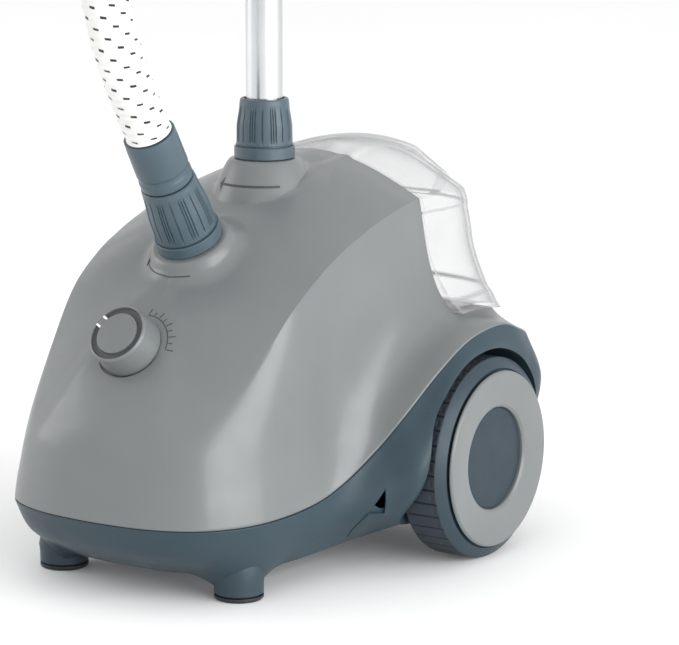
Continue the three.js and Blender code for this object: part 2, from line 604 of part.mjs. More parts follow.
// ---------------------------------------------------------------- wheels
addPart('wheel_axle', axial(AXLE_RADIUS, -WHEEL.face + 7, WHEEL.face - 7, 1, 16), STEEL);
for (const [name, side] of sides) {
  const tyre = turned([
    [HUB.seat, WHEEL.inner], [WHEEL.radius - 2, WHEEL.inner], [WHEEL.radius, WHEEL.inner + 2.5],
    [WHEEL.radius, WHEEL.rim - 5], [HUB.discRadius + 3, WHEEL.rim],
    [HUB.seat, WHEEL.rim - 1]], WHEEL_SIDES);
  addPart(`tyre_${name}`, alongX(tyre, side), TYRE_SLATE);
  const bore = AXLE_RADIUS + GAP;
  const web = turned([
    [bore, WHEEL.inner + 2], [HUB.boss, WHEEL.inner + 2], [HUB.boss, HUB.web],
    [HUB.seat - GAP, HUB.web + 4], [HUB.seat - GAP, WHEEL.rim - 0.4],
    [HUB.discRadius, WHEEL.rim + 1.4], [HUB.discRadius, WHEEL.face - 1],
    [HUB.discRadius - 1, WHEEL.face], [HUB.capRadius + 1, WHEEL.face - HUB.capDepth + 1.5],
    [HUB.capRadius + 1, HUB.floor], [bore, HUB.floor]], 30);
  addPart(`hub_disc_${name}`, alongX(web, side), SHELL_GREY);
  const cap = turned([
    [0, HUB.floor + GAP], [HUB.capRadius, HUB.floor + GAP],
    [HUB.capRadius, WHEEL.face - HUB.capDepth - 0.6], [0, WHEEL.face - HUB.capDepth]], 24);
  addPart(`hub_cap_${name}`, alongX(cap, side), CAP_SLATE);
}

// ---------------------------------------------------------------- pole
TUBES.forEach((tube) => {
  const bore = tube.radius - TUBE_WALL;
  const pipeBody = turned([
    [bore, tube.bottom], [tube.radius, tube.bottom], [tube.radius, tube.top], [bore, tube.top]], 20);
  pipeBody.translate(0, POLE_Y, 0);
  addPart(tube.name, pipeBody, ALUMINIUM);
});
TUBES.slice(0, 3).forEach((tube, i) => {
  const upper = TUBES[i + 1].radius + GAP;
  const seat = tube.top - CLAMP.seat;
  const outer = CLAMP.radius - i;
  const lower = tube.radius + GAP;
  const band = turned([
    [lower, seat], [outer, seat], [outer, seat + CLAMP.height],
    [upper, seat + CLAMP.height], [upper, tube.top + GAP], [lower, tube.top + GAP]], 20);
  band.translate(0, POLE_Y, 0);
  const pivotX = -outer - LEVER.offset;
  const lug = box(pivotX - 2.5, pivotX + 6, POLE_Y - 4, POLE_Y + 4, seat + 4, seat + 12);
  addPart(`pole_clamp_${i + 1}`, join(band, lug), DARK);
  const lever = new THREE.Shape();
  lever.moveTo(pivotX - 2.5, 3);
  lever.lineTo(pivotX - 2.5, -8);
  lever.lineTo(pivotX + 4.5, -20);
  lever.lineTo(pivotX + 8, -18);
  lever.lineTo(pivotX + 2.5, -7);
  lever.lineTo(pivotX + 2.5, 3);
  const flipper = new THREE.ExtrudeGeometry(lever, { depth: LEVER.width, bevelEnabled: false });
  flipper.translate(0, POLE_Y, seat + 13);
  addPart(`clamp_lever_${i + 1}`, flipper, SLATE);
});

// ---------------------------------------------------------------- pole head
const sleeveBore = TUBES[3].radius + GAP;
const sleeve = turned([
  [sleeveBore, 1496], [11, 1496], [11, 1592], [9, 1598], [0, 1598],
  [0, TUBES[3].top + GAP], [sleeveBore, TUBES[3].top + GAP]], 20);
sleeve.translate(0, POLE_Y, 0);
addPart('pole_sleeve', cut(sleeve, box(-20, 20, -10, 9.6, 1550, 1566)), DARK);
addPart('head_cradle', join(box(-9, 9, -11, 9.2, 1552, 1558), box(-9, 9, -11, -7, 1552, 1598)), DARK);
addPart('hanger_hub', join(box(-22, 22, HANGER.y - 11, HANGER.y + 9, 1528, 1566),
  box(-8, 8, POLE_Y + 11.4, HANGER.y, 1540, 1556)), SLATE);
for (const [name, side] of sides) {
  const route = ARM_ROUTE.map(([x, z]) => [side * x, z]);
  const arm = curvedBar(route, HANGER.width, HANGER.thickness, HANGER.y, 20);
  const notchX = HANGER.notchX * side;
  const notch = box(notchX - 5, notchX + 5, HANGER.y - 10, HANGER.y + 10, 1469, 1490);
  const pin = alongX(rod(HANGER.barRadius + 0.4, 170, 230, 12), side);
  pin.translate(0, HANGER.y - WHEEL.y, HANGER.barZ - WHEEL.z);
  addPart(`hanger_arm_${name}`, cut(arm, notch, pin), SLATE);
}
const bar = alongX(rod(HANGER.barRadius, -197, 197, 12), 1);
bar.translate(0, HANGER.y - WHEEL.y, HANGER.barZ - WHEEL.z);
addPart('trouser_bar', bar, STEEL);
addPart('garment_hook', pipe([[11.9, POLE_Y, 1588], [30, POLE_Y, 1585], [48, POLE_Y, 1587],
  [58, POLE_Y, 1600], [62, POLE_Y, 1616], [72, POLE_Y, 1622]], 3.6, 10, 16), DARK);

// ---------------------------------------------------------------- steam head
function steamHead() {
  const bulb = new THREE.SphereGeometry(1, 18, 10);
  bulb.scale(HEAD.halfWidth, 34, 36);
  bulb.translate(0, HEAD.y - 8, HEAD.z);
  const neck = turned([
    [0, HEAD.bottom], [19, HEAD.bottom], [21, 1580], [27, 1604], [0, 1612]], 20);
  neck.translate(0, HEAD.y, 0);
  const plateFace = box(-90, 90, HEAD.plateY - 26, HEAD.plateY, 1560, 1680);
  const way = rod(HEAD.way, 1540, 1614, 14).translate(0, HEAD.y, 0);
  return cut(join(bulb, neck), plateFace, way);
}
addPart('head_shell', steamHead(), SLATE);
const plate = turned([[0, 0], [50, 0], [52, 2], [50, 5], [0, 5]], 28);
plate.scale(1, 0.5, 1);
const plateSeat = new THREE.Vector3(0, HEAD.plateY - 0.4, HEAD.z);
addPart('steam_plate', aimed(plate, plateSeat, new THREE.Vector3(0, -1, 0)), STEEL);
const grip = turned([
  [GRIP.bore, GRIP.bottom], [GRIP.radius, GRIP.bottom], [GRIP.radius, 1440],
  [GRIP.radius - 2, GRIP.top], [HEAD.way, GRIP.top], [HEAD.way, GRIP.boreTop],
  [GRIP.bore, GRIP.boreTop]], 24);
grip.translate(0, HEAD.y, 0);
addPart('handle_grip', grip, DARK);
addPart('hang_loop', join(box(-6, 6, HEAD.y + 27.5, HEAD.y + 42, 1601, 1606),
  box(-6, 6, HEAD.y + 38.6, HEAD.y + 42, 1570, 1606)), SLATE);

// ---------------------------------------------------------------- steam hose
const cuff = turned([
  [CUFF.bore, CUFF.inside], [CUFF.neck, CUFF.inside], [CUFF.neck, CUFF.shoulder],
  [CUFF.radius + 0.6, CUFF.shoulder], [CUFF.radius, CUFF.end], [CUFF.bore, CUFF.end]], 20);
addPart('hose_cuff', aimed(cuff, HOSE_SEAT, HOSE_AXIS), SLATE);
addPart('steam_hose', pipe(HOSE_ROUTE, HOSE_RADIUS, 10, 26), WHITE_HOSE);

export default model;
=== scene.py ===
"""Looks of an upright garment steamer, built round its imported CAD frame.

Shapes are worked out in millimetres and turned into metres as each mesh is made. A piece
takes its place from the CAD node that it stands for. +Z is up and -Y is the front.
"""
import json
import math

import bmesh
import bpy
import numpy as np
from mathutils import Euler, Matrix, Vector
from mathutils.bvhtree import BVHTree


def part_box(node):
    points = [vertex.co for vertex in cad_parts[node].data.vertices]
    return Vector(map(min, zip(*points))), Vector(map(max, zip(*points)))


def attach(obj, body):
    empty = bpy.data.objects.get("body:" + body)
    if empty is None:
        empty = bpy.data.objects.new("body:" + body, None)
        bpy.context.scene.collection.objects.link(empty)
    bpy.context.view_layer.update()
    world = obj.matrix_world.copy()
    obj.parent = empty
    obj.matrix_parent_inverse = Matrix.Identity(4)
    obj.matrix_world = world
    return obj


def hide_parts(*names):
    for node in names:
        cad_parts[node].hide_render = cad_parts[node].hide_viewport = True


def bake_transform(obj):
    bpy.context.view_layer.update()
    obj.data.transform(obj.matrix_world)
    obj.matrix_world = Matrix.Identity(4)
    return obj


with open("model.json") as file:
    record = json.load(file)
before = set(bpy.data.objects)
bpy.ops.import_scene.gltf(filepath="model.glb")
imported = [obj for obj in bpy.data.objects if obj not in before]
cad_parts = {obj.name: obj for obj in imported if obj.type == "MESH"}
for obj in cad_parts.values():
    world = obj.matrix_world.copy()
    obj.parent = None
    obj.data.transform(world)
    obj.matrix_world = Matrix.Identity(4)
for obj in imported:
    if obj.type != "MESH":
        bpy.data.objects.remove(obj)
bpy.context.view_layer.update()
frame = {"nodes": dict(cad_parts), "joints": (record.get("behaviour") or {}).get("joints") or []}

# ------------------------------------------------------------------ dimensions (mm)
MM = 0.001
WALL = 2.6
GAP = 0.35
LIP = 1.4                       # rounding of the shell's and chassis's edges at their seam
SIDES = 72                      # sides of a fine turned piece
UP = np.array([0, 0, 1.0])
LEFT_RIGHT = (("left", -1), ("right", 1))


def span(node):
    """Lowest and highest corner of a CAD node, in mm."""
    low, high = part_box(node)
    return np.array(low) / MM, np.array(high) / MM


def joint(name):
    """Pivot in mm and unit axis of a joint."""
    found = next(j for j in frame["joints"] if j["name"] == name)
    axis = np.array(found["axis"], float)
    pivot = np.array(found.get("pos_m", (0, 0, 0)), float) / MM
    return pivot, axis / np.linalg.norm(axis)


WHEEL_CENTRE = joint("wheel_right_spin")[0]
POLE_SEAT = joint("pole_lock_turn")[0]
HOSE_SEAT, HOSE_AXIS = joint("hose_lock_turn")
DIAL_SEAT, DIAL_AXIS = joint("dial_turn")
TANK_FRONT = span("water_tank")[0][1] - 0.6
WELL = {"radius": 74, "inner": 118, "outer": 175}
DECK = {"front": 160.5, "arch_y": 125, "arch": 163, "back": 138}

# ------------------------------------------------------------------ camera
CAMERA = {"place": (1.3566, -1.8946, 0.616), "azimuth": 34.1, "tilt": 78.8, "lens": 186.5}


def make_camera():
    data = bpy.data.cameras.new("camera")
    data.lens = CAMERA["lens"]
    data.sensor_width = 36
    data.clip_end = 200
    camera = bpy.data.objects.new("camera", data)
    camera.location = CAMERA["place"]
    camera.rotation_euler = Euler(
        (math.radians(CAMERA["tilt"]), 0, math.radians(CAMERA["azimuth"])))
    bpy.context.scene.collection.objects.link(camera)
    bpy.context.scene.camera = camera


make_camera()


# ------------------------------------------------------------------ mesh helpers
def welded(points, faces, tolerance=1e-3):
    """Merges points that fall together and drops faces that have no area left."""
    keys = np.round(np.asarray(points, float) / tolerance).astype(np.int64)
    _, first, place = np.unique(keys, axis=0, return_index=True, return_inverse=True)
    place = place.ravel()
    kept = []
    for face in faces:
        ring = [place[i] for i in face]
        ring = [v for i, v in enumerate(ring) if v != ring[i - 1]]
        if len(set(ring)) > 2:
            kept.append(ring)
    return np.asarray(points, float)[first], kept


def mesh_object(name, points, faces, material=None, sharp=35, weld=True):
    """An object from points in mm, with outward faces and smooth shading below an angle."""
    if weld:
        points, faces = welded(points, faces)
    mesh = bpy.data.meshes.new(name)
    mesh.from_pydata((np.asarray(points) * MM).tolist(), [], [list(map(int, f)) for f in faces])
    body = bmesh.new()
    body.from_mesh(mesh)
    bmesh.ops.recalc_face_normals(body, faces=body.faces)
    body.to_mesh(mesh)
    body.free()
    if material is not None:
        mesh.materials.append(material)
    obj = bpy.data.objects.new(name, mesh)
    bpy.context.scene.collection.objects.link(obj)
    shade(obj, sharp)
    return obj


def shade(obj, sharp=35):
    obj.data.shade_smooth()
    obj.data.set_sharp_from_angle(angle=math.radians(sharp))


def settle(obj, sharp=35):
    """Replaces an object's mesh by its evaluated one."""
    graph = bpy.context.evaluated_depsgraph_get()
    mesh = bpy.data.meshes.new_from_object(obj.evaluated_get(graph))
    obj.modifiers.clear()
    obj.data = mesh
    shade(obj, sharp)
    return obj


def carve(obj, *steps, sharp=35):
    """Applies boolean steps of (operation, cutter) and removes the cutters."""
    for operation, cutter in steps:
        modifier = obj.modifiers.new("carve", "BOOLEAN")
        modifier.operation = operation
        modifier.object = cutter
        modifier.solver = "MANIFOLD"
        settle(obj, sharp)
        bpy.data.objects.remove(cutter)
    return obj


def bevelled(obj, width, segments=3, angle=40, sharp=50):
    """Rounds an object's edges; width is in mm."""
    modifier = obj.modifiers.new("bevel", "BEVEL")
    modifier.width = width * MM
    modifier.segments = segments
    modifier.limit_method = "ANGLE"
    modifier.angle_limit = math.radians(angle)
    return settle(obj, sharp)


def grid(rows, columns, wrap=False):
    """Faces of a grid of points that are stored row by row."""
    last = columns if wrap else columns - 1
    faces = []
    for r in range(rows - 1):
        for c in range(last):
            d = (c + 1) % columns
            faces.append((r * columns + c, r * columns + d,
                          (r + 1) * columns + d, (r + 1) * columns + c))
    return faces


def rounded(profile, radius, steps=4, closed=False):
    """A polyline with its corners turned into arcs of about that radius."""
    p = np.asarray(profile, float)
    out = []
    for i, corner in enumerate(p):
        if not closed and i in (0, len(p) - 1):
            out.append(corner)
            continue
        before = p[i - 1] - corner
        after = p[(i + 1) % len(p)] - corner
        reach = min(radius, 0.45 * np.linalg.norm(before), 0.45 * np.linalg.norm(after))
        start = corner + before / np.linalg.norm(before) * reach
        end = corner + after / np.linalg.norm(after) * reach
        for t in np.linspace(0, 1, steps + 1):
            out.append((1 - t) ** 2 * start + 2 * t * (1 - t) * corner + t * t * end)
    return np.array(out)


def turn_to(axis):
    return np.array(Vector((0, 0, 1)).rotation_difference(Vector(axis)).to_matrix())


def placed(points, seat=(0, 0, 0), axis=(0, 0, 1)):
    """Points made round +Z, with +Z laid along axis and the origin at seat."""
    return np.asarray(points) @ turn_to(axis).T + np.asarray(seat, float)


def lathe(name, profile, material=None, seat=(0, 0, 0), axis=(0, 0, 1), sides=SIDES, round_off=0,
          sharp=35, ripple=None):
    """A turned piece. profile is (radius, height) points, from axis to axis or round a bore.
    ripple(radius, height, angle) changes the radius."""
    profile = np.asarray(profile, float)
    closed = not (profile[0][0] == 0 and profile[-1][0] == 0)
    if round_off:
        profile = rounded(profile, round_off, closed=closed)
    if closed:
        profile = np.vstack([profile, profile[:1]])
    angles = np.arange(sides) * 2 * np.pi / sides
    radius = np.repeat(profile[:, 0], sides)
    height = np.repeat(profile[:, 1], sides)
    angle = np.tile(angles, len(profile))
    if ripple:
        radius = ripple(radius, height, angle)
    points = np.column_stack([radius * np.cos(angle), radius * np.sin(angle), height])
    faces = grid(len(profile), sides, wrap=True)
    return mesh_object(name, placed(points, seat, axis), faces, material, sharp)


def rod(name, radius, bottom, top, material=None, seat=(0, 0, 0), axis=(0, 0, 1), round_off=0, sides=SIDES):
    profile = [(0, bottom), (radius, bottom), (radius, top), (0, top)]
    return lathe(name, profile, material, seat, axis, sides, round_off)


def prism(name, outline, low, high, material=None, to_3d=lambda a, b, c: (a, b, c)):
    """A closed outline pushed from low to high. to_3d places (outline a, outline b, depth)."""
    outline = [tuple(p) for p in outline]
    n = len(outline)
    points = [to_3d(a, b, c) for c in (low, high) for a, b in outline]
    faces = [tuple(range(n)), tuple(range(2 * n - 1, n - 1, -1))]
    faces += [(i, (i + 1) % n, n + (i + 1) % n, n + i) for i in range(n)]
    return mesh_object(name, points, faces, material)


def block(name, low, high, material=None, round_off=0):
    low, high = np.asarray(low, float), np.asarray(high, float)
    outline = [(low[0], low[1]), (high[0], low[1]), (high[0], high[1]), (low[0], high[1])]
    obj = prism(name, outline, low[2], high[2], material)
    return bevelled(obj, round_off) if round_off else obj


def joined(name, *objects):
    """Several meshes as one object, with their materials."""
    main = objects[0]
    body = bmesh.new()
    materials = []
    for obj in objects:
        offset = len(body.faces)
        body.from_mesh(obj.data)
        body.faces.ensure_lookup_table()
        for material in obj.data.materials:
            if material not in materials:
                materials.append(material)
        for face in body.faces[offset:]:
            if obj.data.materials:
                face.material_index = materials.index(obj.data.materials[face.material_index])
    mesh = bpy.data.meshes.new(name)
    body.to_mesh(mesh)
    body.free()
    for material in materials:
        mesh.materials.append(material)
    for obj in objects[1:]:
        bpy.data.objects.remove(obj)
    main.data = mesh
    main.name = name
    shade(main)
    return main


def smooth_path(points, per_span):
    """A centripetal curve through the points: its places and unit directions."""
    p = np.asarray(points, float)
    p = np.vstack([2 * p[0] - p[1], p, 2 * p[-1] - p[-2]])
    places, directions = [], []
    for i in range(1, len(p) - 2):
        a, b, c, d = p[i - 1:i + 3]
        ab, bc, cd = (max(np.linalg.norm(y - x), 1e-6) ** 0.5 for x, y in ((a, b), (b, c), (c, d)))
        start = ((b - a) / ab - (c - a) / (ab + bc) + (c - b) / bc) * bc
        end = ((c - b) / bc - (d - b) / (bc + cd) + (d - c) / cd) * bc
        last = i == len(p) - 3
        for t in np.linspace(0, 1, per_span + 1)[:None if last else -1]:
            places.append(hermite(b, start, c, end, t))
            slope = ((6 * t * t - 6 * t) * (b - c) + (3 * t * t - 4 * t + 1) * start
                     + (3 * t * t - 2 * t) * end)
            directions.append(slope / np.linalg.norm(slope))
    return np.array(places), np.array(directions)


def hermite(a, ta, b, tb, t):
    t2, t3 = t * t, t ** 3
    return a * (2 * t3 - 3 * t2 + 1) + ta * (t3 - 2 * t2 + t) + b * (3 * t2 - 2 * t3) + tb * (t3 - t2)


def end_faces(rings, sides):
    """The flat faces that close the first and the last ring of a skin."""
    last = (rings - 1) * sides
    return [tuple(range(sides)), tuple(range(last + sides - 1, last - 1, -1))]


def tube(name, places, directions, radius, material, sides=24, side_axis=(1, 0, 0), with_uv=False, ends=True):
    """A round tube along a path. radius is a number or one value for each place."""
    across = np.cross(directions, side_axis)
    across /= np.linalg.norm(across, axis=1, keepdims=True)
    other = np.cross(directions, across)
    angle = np.arange(sides) * 2 * np.pi / sides
    radius = np.broadcast_to(np.asarray(radius, float), (len(places),))
    rings = (places[:, None] + radius[:, None, None]
             * (np.cos(angle)[None, :, None] * across[:, None]
                + np.sin(angle)[None, :, None] * other[:, None]))
    faces = grid(len(places), sides, wrap=True)
    if ends:
        faces += end_faces(len(places), sides)
    obj = mesh_object(name, rings.reshape(-1, 3), faces, material, sharp=60, weld=False)
    if with_uv:
        along = np.concatenate([[0], np.cumsum(np.linalg.norm(np.diff(places, axis=0), axis=1))]) * MM
        layer = obj.data.uv_layers.new(name="UVMap")
        for polygon in obj.data.polygons:
            columns = [v % sides for v in polygon.vertices]
            wraps = max(columns) == sides - 1 and min(columns) == 0 and len(columns) == 4
            for loop, v, c in zip(polygon.loop_indices, polygon.vertices, columns):
                layer.data[loop].uv = ((sides if wraps and c == 0 else c) / sides, along[v // sides])
    return obj


def stand_in(obj, body, slot, *nodes):
    """Makes a piece ride on its body and take the place of CAD nodes. slot, the name of its finish, is not
    used.
    """
    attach(obj, body)
    if nodes:
        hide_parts(*nodes)
    return obj


def only_paint(obj, name):
    """Gives a carved piece one material, in place of those that its cutters left."""
    obj.data.materials.clear()
    obj.data.materials.append(paint[name])


# ------------------------------------------------------------------ materials
def linear(colour):
    """Linear red, green and blue of a six-digit sRGB colour."""
    parts = [((colour >> shift) & 255) / 255 for shift in (16, 8, 0)]
    return [c / 12.92 if c <= 0.04045 else ((c + 0.055) / 1.055) ** 2.4 for c in parts]


def scaled(colour, factor):
    return (*[min(1, c * factor) for c in colour], 1)


class Nodes:
    """A material's node tree, with short calls for the nodes that the finishes share."""

    def __init__(self, name):
        self.material = bpy.data.materials.new(name)
        self.material.use_nodes = True
        self.tree = self.material.node_tree
        self.shader = self.tree.nodes["Principled BSDF"]
        self.coords = self.add("ShaderNodeTexCoord").outputs["Object"]

    def add(self, kind, **settings):
        node = self.tree.nodes.new(kind)
        for key, value in settings.items():
            setattr(node, key, value)
        return node

    def link(self, source, target):
        self.tree.links.new(source, target)

    def noise(self, scale, detail=3, roughness=0.5, coords=None):
        node = self.add("ShaderNodeTexNoise")
        node.inputs["Scale"].default_value = scale
        node.inputs["Detail"].default_value = detail
        node.inputs["Roughness"].default_value = roughness
        self.link(coords or self.coords, node.inputs["Vector"])
        return node.outputs["Fac"]

    def spread(self, value, low, high, source=(0.3, 0.7)):
        """Maps a value to the range from low to high."""
        node = self.add("ShaderNodeMapRange")
        node.inputs["From Min"].default_value = source[0]
        node.inputs["From Max"].default_value = source[1]
        node.inputs["To Min"].default_value = low
        node.inputs["To Max"].default_value = high
        self.link(value, node.inputs["Value"])
        return node.outputs["Result"]

    def mix(self, factor, first, second):
        """Mixes two colours, each a tuple or a socket."""
        node = self.add("ShaderNodeMix", data_type="RGBA")
        self.link(factor, node.inputs["Factor"])
        for value, socket in ((first, node.inputs["A"]), (second, node.inputs["B"])):
            if isinstance(value, tuple):
                socket.default_value = value
            else:
                self.link(value, socket)
        return node.outputs["Result"]

    def math(self, operation, first, second=None):
        node = self.add("ShaderNodeMath", operation=operation)
        for value, socket in zip((first, second), node.inputs):
            if value is None:
                continue
            if isinstance(value, (int, float)):
                socket.default_value = value
            else:
                self.link(value, socket)
        return node.outputs["Value"]

    def bump(self, height, distance, strength=1.0, normal=None):
        node = self.add("ShaderNodeBump")
        node.inputs["Distance"].default_value = distance
        node.inputs["Strength"].default_value = strength
        self.link(height, node.inputs["Height"])
        if normal is not None:
            self.link(normal, node.inputs["Normal"])
        return node.outputs["Normal"]

    def set(self, name, value):
        socket = self.shader.inputs[name]
        if isinstance(value, (int, float, tuple)):
            socket.default_value = value
        else:
            self.link(value, socket)
        return self


def moulded(name, colour, roughness, spread=0.06, grain=0.00002, grain_scale=2200, coat=0.0, tone=0.05,
            specular=0.5):
    """Moulded plastic: cloudy tone, uneven gloss and a fine grain."""
    base = linear(colour)
    n = Nodes(name)
    clouds = n.noise(14, 4)
    n.set("Base Color", n.mix(n.spread(clouds, 0, 1), scaled(base, 1 - tone), scaled(base, 1 + tone)))
    smears = n.noise(60, 5, 0.6)
    n.set("Roughness", n.spread(smears, roughness - spread, roughness + spread))
    n.set("Normal", n.bump(n.noise(grain_scale, 2), grain))
    n.set("Specular IOR Level", specular)
    if coat:
        n.set("Coat Weight", coat)
        n.set("Coat Roughness", 0.16)
    return n.material


def metal(name, colour, roughness, brushed=(1, 1, 1)):
    """Metal with fine brushing, stretched by the factors in brushed."""
    base = linear(colour)
    n = Nodes(name)
    stretch = n.add("ShaderNodeMapping")
    stretch.inputs["Scale"].default_value = brushed
    n.link(n.coords, stretch.inputs["Vector"])
    streaks = n.noise(400, 4, 0.6, stretch.outputs["Vector"])
    n.set("Base Color", n.mix(n.spread(n.noise(20), 0, 1), scaled(base, 0.92), scaled(base, 1.04)))
    n.set("Metallic", 1.0)
    n.set("Roughness", n.spread(streaks, roughness - 0.08, roughness + 0.1))
    n.set("Normal", n.bump(streaks, 0.00001))
    return n.material


# Painted dark edge lines on the clear tank, at its front edge and over its two ledges, in place of the light
# that the wall bends there: axis, place and half width.
TANK_PAINTED_EDGE_LINES = (("Y", TANK_FRONT + 1.8, 1.1), ("Z", 168, 2.4), ("Z", 226.5, 1.4))


def clear_plastic(name):
    """Thin clear polycarbonate, which turns white and denser where it is seen edge on, with painted dark
    lines at its front edge and ledges.
    """
    n = Nodes(name)
    facing = n.add("ShaderNodeLayerWeight")
    facing.inputs["Blend"].default_value = 0.5
    haze = n.noise(30, 4)
    rim = n.math("POWER", facing.outputs["Facing"], 5.0)
    place = n.add("ShaderNodeSeparateXYZ")
    n.link(n.coords, place.inputs["Vector"])
    # Painted dark lines: fixed bands at the front edge and ledges, drawn darker and denser in place of the
    # light bent there.
    for socket, centre, half in TANK_PAINTED_EDGE_LINES:
        away = n.math("ABSOLUTE", n.math("SUBTRACT", place.outputs[socket], centre * MM))
        rim = n.math("MAXIMUM", rim, n.spread(away, 0.3, 0, (0, half * MM)))
    veil = n.spread(rim, 0.08, 1.0, (0, 0.5))
    n.set("Alpha", n.math("ADD", veil, n.spread(haze, -0.02, 0.03)))
    n.set("Base Color", n.mix(rim, (0.5, 0.51, 0.52, 1), (0.012, 0.013, 0.014, 1)))
    n.set("Roughness", n.spread(haze, 0.03, 0.09))
    n.set("Normal", n.bump(n.noise(60, 2), 0.00003))
    n.set("Specular IOR Level", 0.22)
    return n.material


def hose_cloth(name, radius):
    """White woven hose cover with rows of short dark stitches that step round it."""
    n = Nodes(name)
    uv = n.add("ShaderNodeTexCoord").outputs["UV"]
    split = n.add("ShaderNodeSeparateXYZ")
    n.link(uv, split.inputs["Vector"])
    turn, along = split.outputs["X"], split.outputs["Y"]
    pitch, dashes = 0.0066, 7
    row = n.math("DIVIDE", along, pitch)
    step = n.math("MULTIPLY", n.math("FLOOR", row), 0.5)
    column = n.math("ADD", n.math("MULTIPLY", turn, dashes), step)
    sideways = n.math("SUBTRACT", n.math("FRACT", column), 0.5)
    slanted = n.math("ADD", n.math("FRACT", row), n.math("MULTIPLY", sideways, 0.5))
    lengthways = n.math("SUBTRACT", slanted, 0.5)
    inside = n.math("MULTIPLY",
                    n.math("LESS_THAN", n.math("ABSOLUTE", sideways), 0.15),
                    n.math("LESS_THAN", n.math("ABSOLUTE", lengthways), 0.12))
    thread = 0.0011
    around = 2 * math.pi * radius * MM / thread
    warp = n.math("SINE", n.math("MULTIPLY", turn, 2 * math.pi * round(around)))
    weft = n.math("SINE", n.math("MULTIPLY", along, 2 * math.pi / thread))
    weave = n.math("MULTIPLY", warp, weft)
    soil = n.spread(n.noise(40, 4), 0, 1)
    cloth = n.mix(soil, (0.78, 0.78, 0.76, 1), (0.87, 0.87, 0.86, 1))
    n.set("Base Color", n.mix(inside, cloth, (0.012, 0.013, 0.015, 1)))
    n.set("Roughness", n.spread(weave, 0.72, 0.95, (-1, 1)))
    n.set("Normal", n.bump(weave, 0.00018, 0.6, n.bump(n.noise(3000, 2), 0.00008)))
    n.set("Sheen Weight", 0.25)
    return n.material


def make_materials():
    return {
        "shell_grey": moulded("shell_grey_plastic", 0x6B6F70, 0.38, coat=0.2),
        "slate": moulded("slate_plastic", 0x2D3E47, 0.42, grain=0.00003, specular=0.35),
        "collar": moulded("collar_plastic", 0x46565F, 0.36, grain=0.00002, specular=0.4),
        "tyre_slate": moulded("tyre_rubber", 0x343C44, 0.66, 0.1, grain=0.00005, specular=0.35),
        "rim": moulded("rim_plastic", 0x2B3A44, 0.42, grain=0.00003, specular=0.35),
        "cap_slate": moulded("cap_plastic", 0x24323C, 0.52, grain=0.00004, specular=0.35),
        "upper": moulded("upper_plastic", 0x24313B, 0.3, grain=0.00002, coat=0.3, specular=0.45),
        "dark": moulded("dark_plastic", 0x1A1D20, 0.45),
        "mark": moulded("mark_ink", 0x3A3D3F, 0.6),
        "white": moulded("white_ink", 0xF2F4F4, 0.5),
        "dial_dark": moulded("dial_ring_plastic", 0x3E4143, 0.4),
        "clear_tank": clear_plastic("clear_polycarbonate"),
        "steel": metal("polished_steel", 0xB9BCBF, 0.28),
        "aluminium": metal("brushed_aluminium", 0xD3D5D7, 0.26, (1, 1, 0.02)),
        "brass": metal("brass", 0xB08D4A, 0.35),
        "nylon": moulded("natural_nylon", 0xD9D6CC, 0.55),
    }


paint = make_materials()

# ------------------------------------------------------------------ steam hose
# The route of part.mjs, in metres: from the cuff on the base to inside the grip.
HOSE_ROUTE = [
    (0, -0.1094, 0.2966), (-0.001, -0.127, 0.328), (-0.003, -0.141, 0.362), (-0.005, -0.148, 0.398),
    (-0.004, -0.148, 0.435), (0.001, -0.14, 0.475), (0.009, -0.125, 0.518), (0.019, -0.106, 0.566),
    (0.029, -0.086, 0.62), (0.038, -0.068, 0.68), (0.044, -0.054, 0.75), (0.047, -0.045, 0.83),
    (0.046, -0.042, 0.92), (0.042, -0.042, 1.01), (0.034, -0.043, 1.1), (0.024, -0.044, 1.19),
    (0.014, -0.045, 1.275), (0.006, -0.045, 1.35), (0.0015, -0.045, 1.41), (0, -0.045, 1.45),
    (0, -0.045, 1.482)]
HOSE = {"radius": 15.5, "coil": 5.2, "coil_depth": 0.3, "blend_from": 0.33, "blend_to": 1.44}


def make_hose():
    places, directions = smooth_path(np.array(HOSE_ROUTE) / MM, 44)
    along = np.concatenate([[0], np.cumsum(np.linalg.norm(np.diff(places, axis=0), axis=1))])
    coils = HOSE["coil_depth"] * np.cos(along * 2 * np.pi / HOSE["coil"])
    radius = HOSE["radius"] - HOSE["coil_depth"] + coils
    hose = tube("steam_hose_cover", places, directions, radius, hose_cloth("hose_cloth", HOSE["radius"]),
                sides=36, with_uv=True)
    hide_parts("steam_hose")
    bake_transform(hose)
    return hose


make_hose()

# ------------------------------------------------------------------ body skin
# Guide curves of the right-hand half, nose to tail, as (x, y, z); the left half mirrors them.
SEAM = [
    (0, -178.5, 54), (46, -173.5, 54), (78, -156, 54), (96, -122, 54),
    (101, -75, 56), (106, -45, 65), (118, -22, 86), (130, -6, 108),
    (139, 22, 134), (143, 54, 151), (146, 88, 156), (146, 112, 149),
    (135, 137, 141), (98, 164, 139), (50, 172, 138), (0, 174, 138)]
HIP = [
    (0, -176, 72), (45, -171, 72), (76, -154, 72), (93, -121, 74),
    (98, -76, 80), (101, -47, 88), (106, -22, 108), (110, 0, 126),
    (112, 26, 146), (112, 56, 160), (112, 80, 163), (112, 108, 161),
    (107, 136, 157), (84, 157, 153), (45, 165, 152), (0, 167, 151)]
CREASE = [
    (0, -168, 112), (38, -163, 112), (64, -149, 113), (80, -118, 139),
    (88, -80, 180), (90, -50, 201), (90, -25, 213), (90, -3, 221),
    (90, 24, 229), (89, 54, 235), (86, 80, 237), (88, 110, 238),
    (86, 133, 236), (66, 150, 238), (35, 158, 240), (0, 161, 241)]
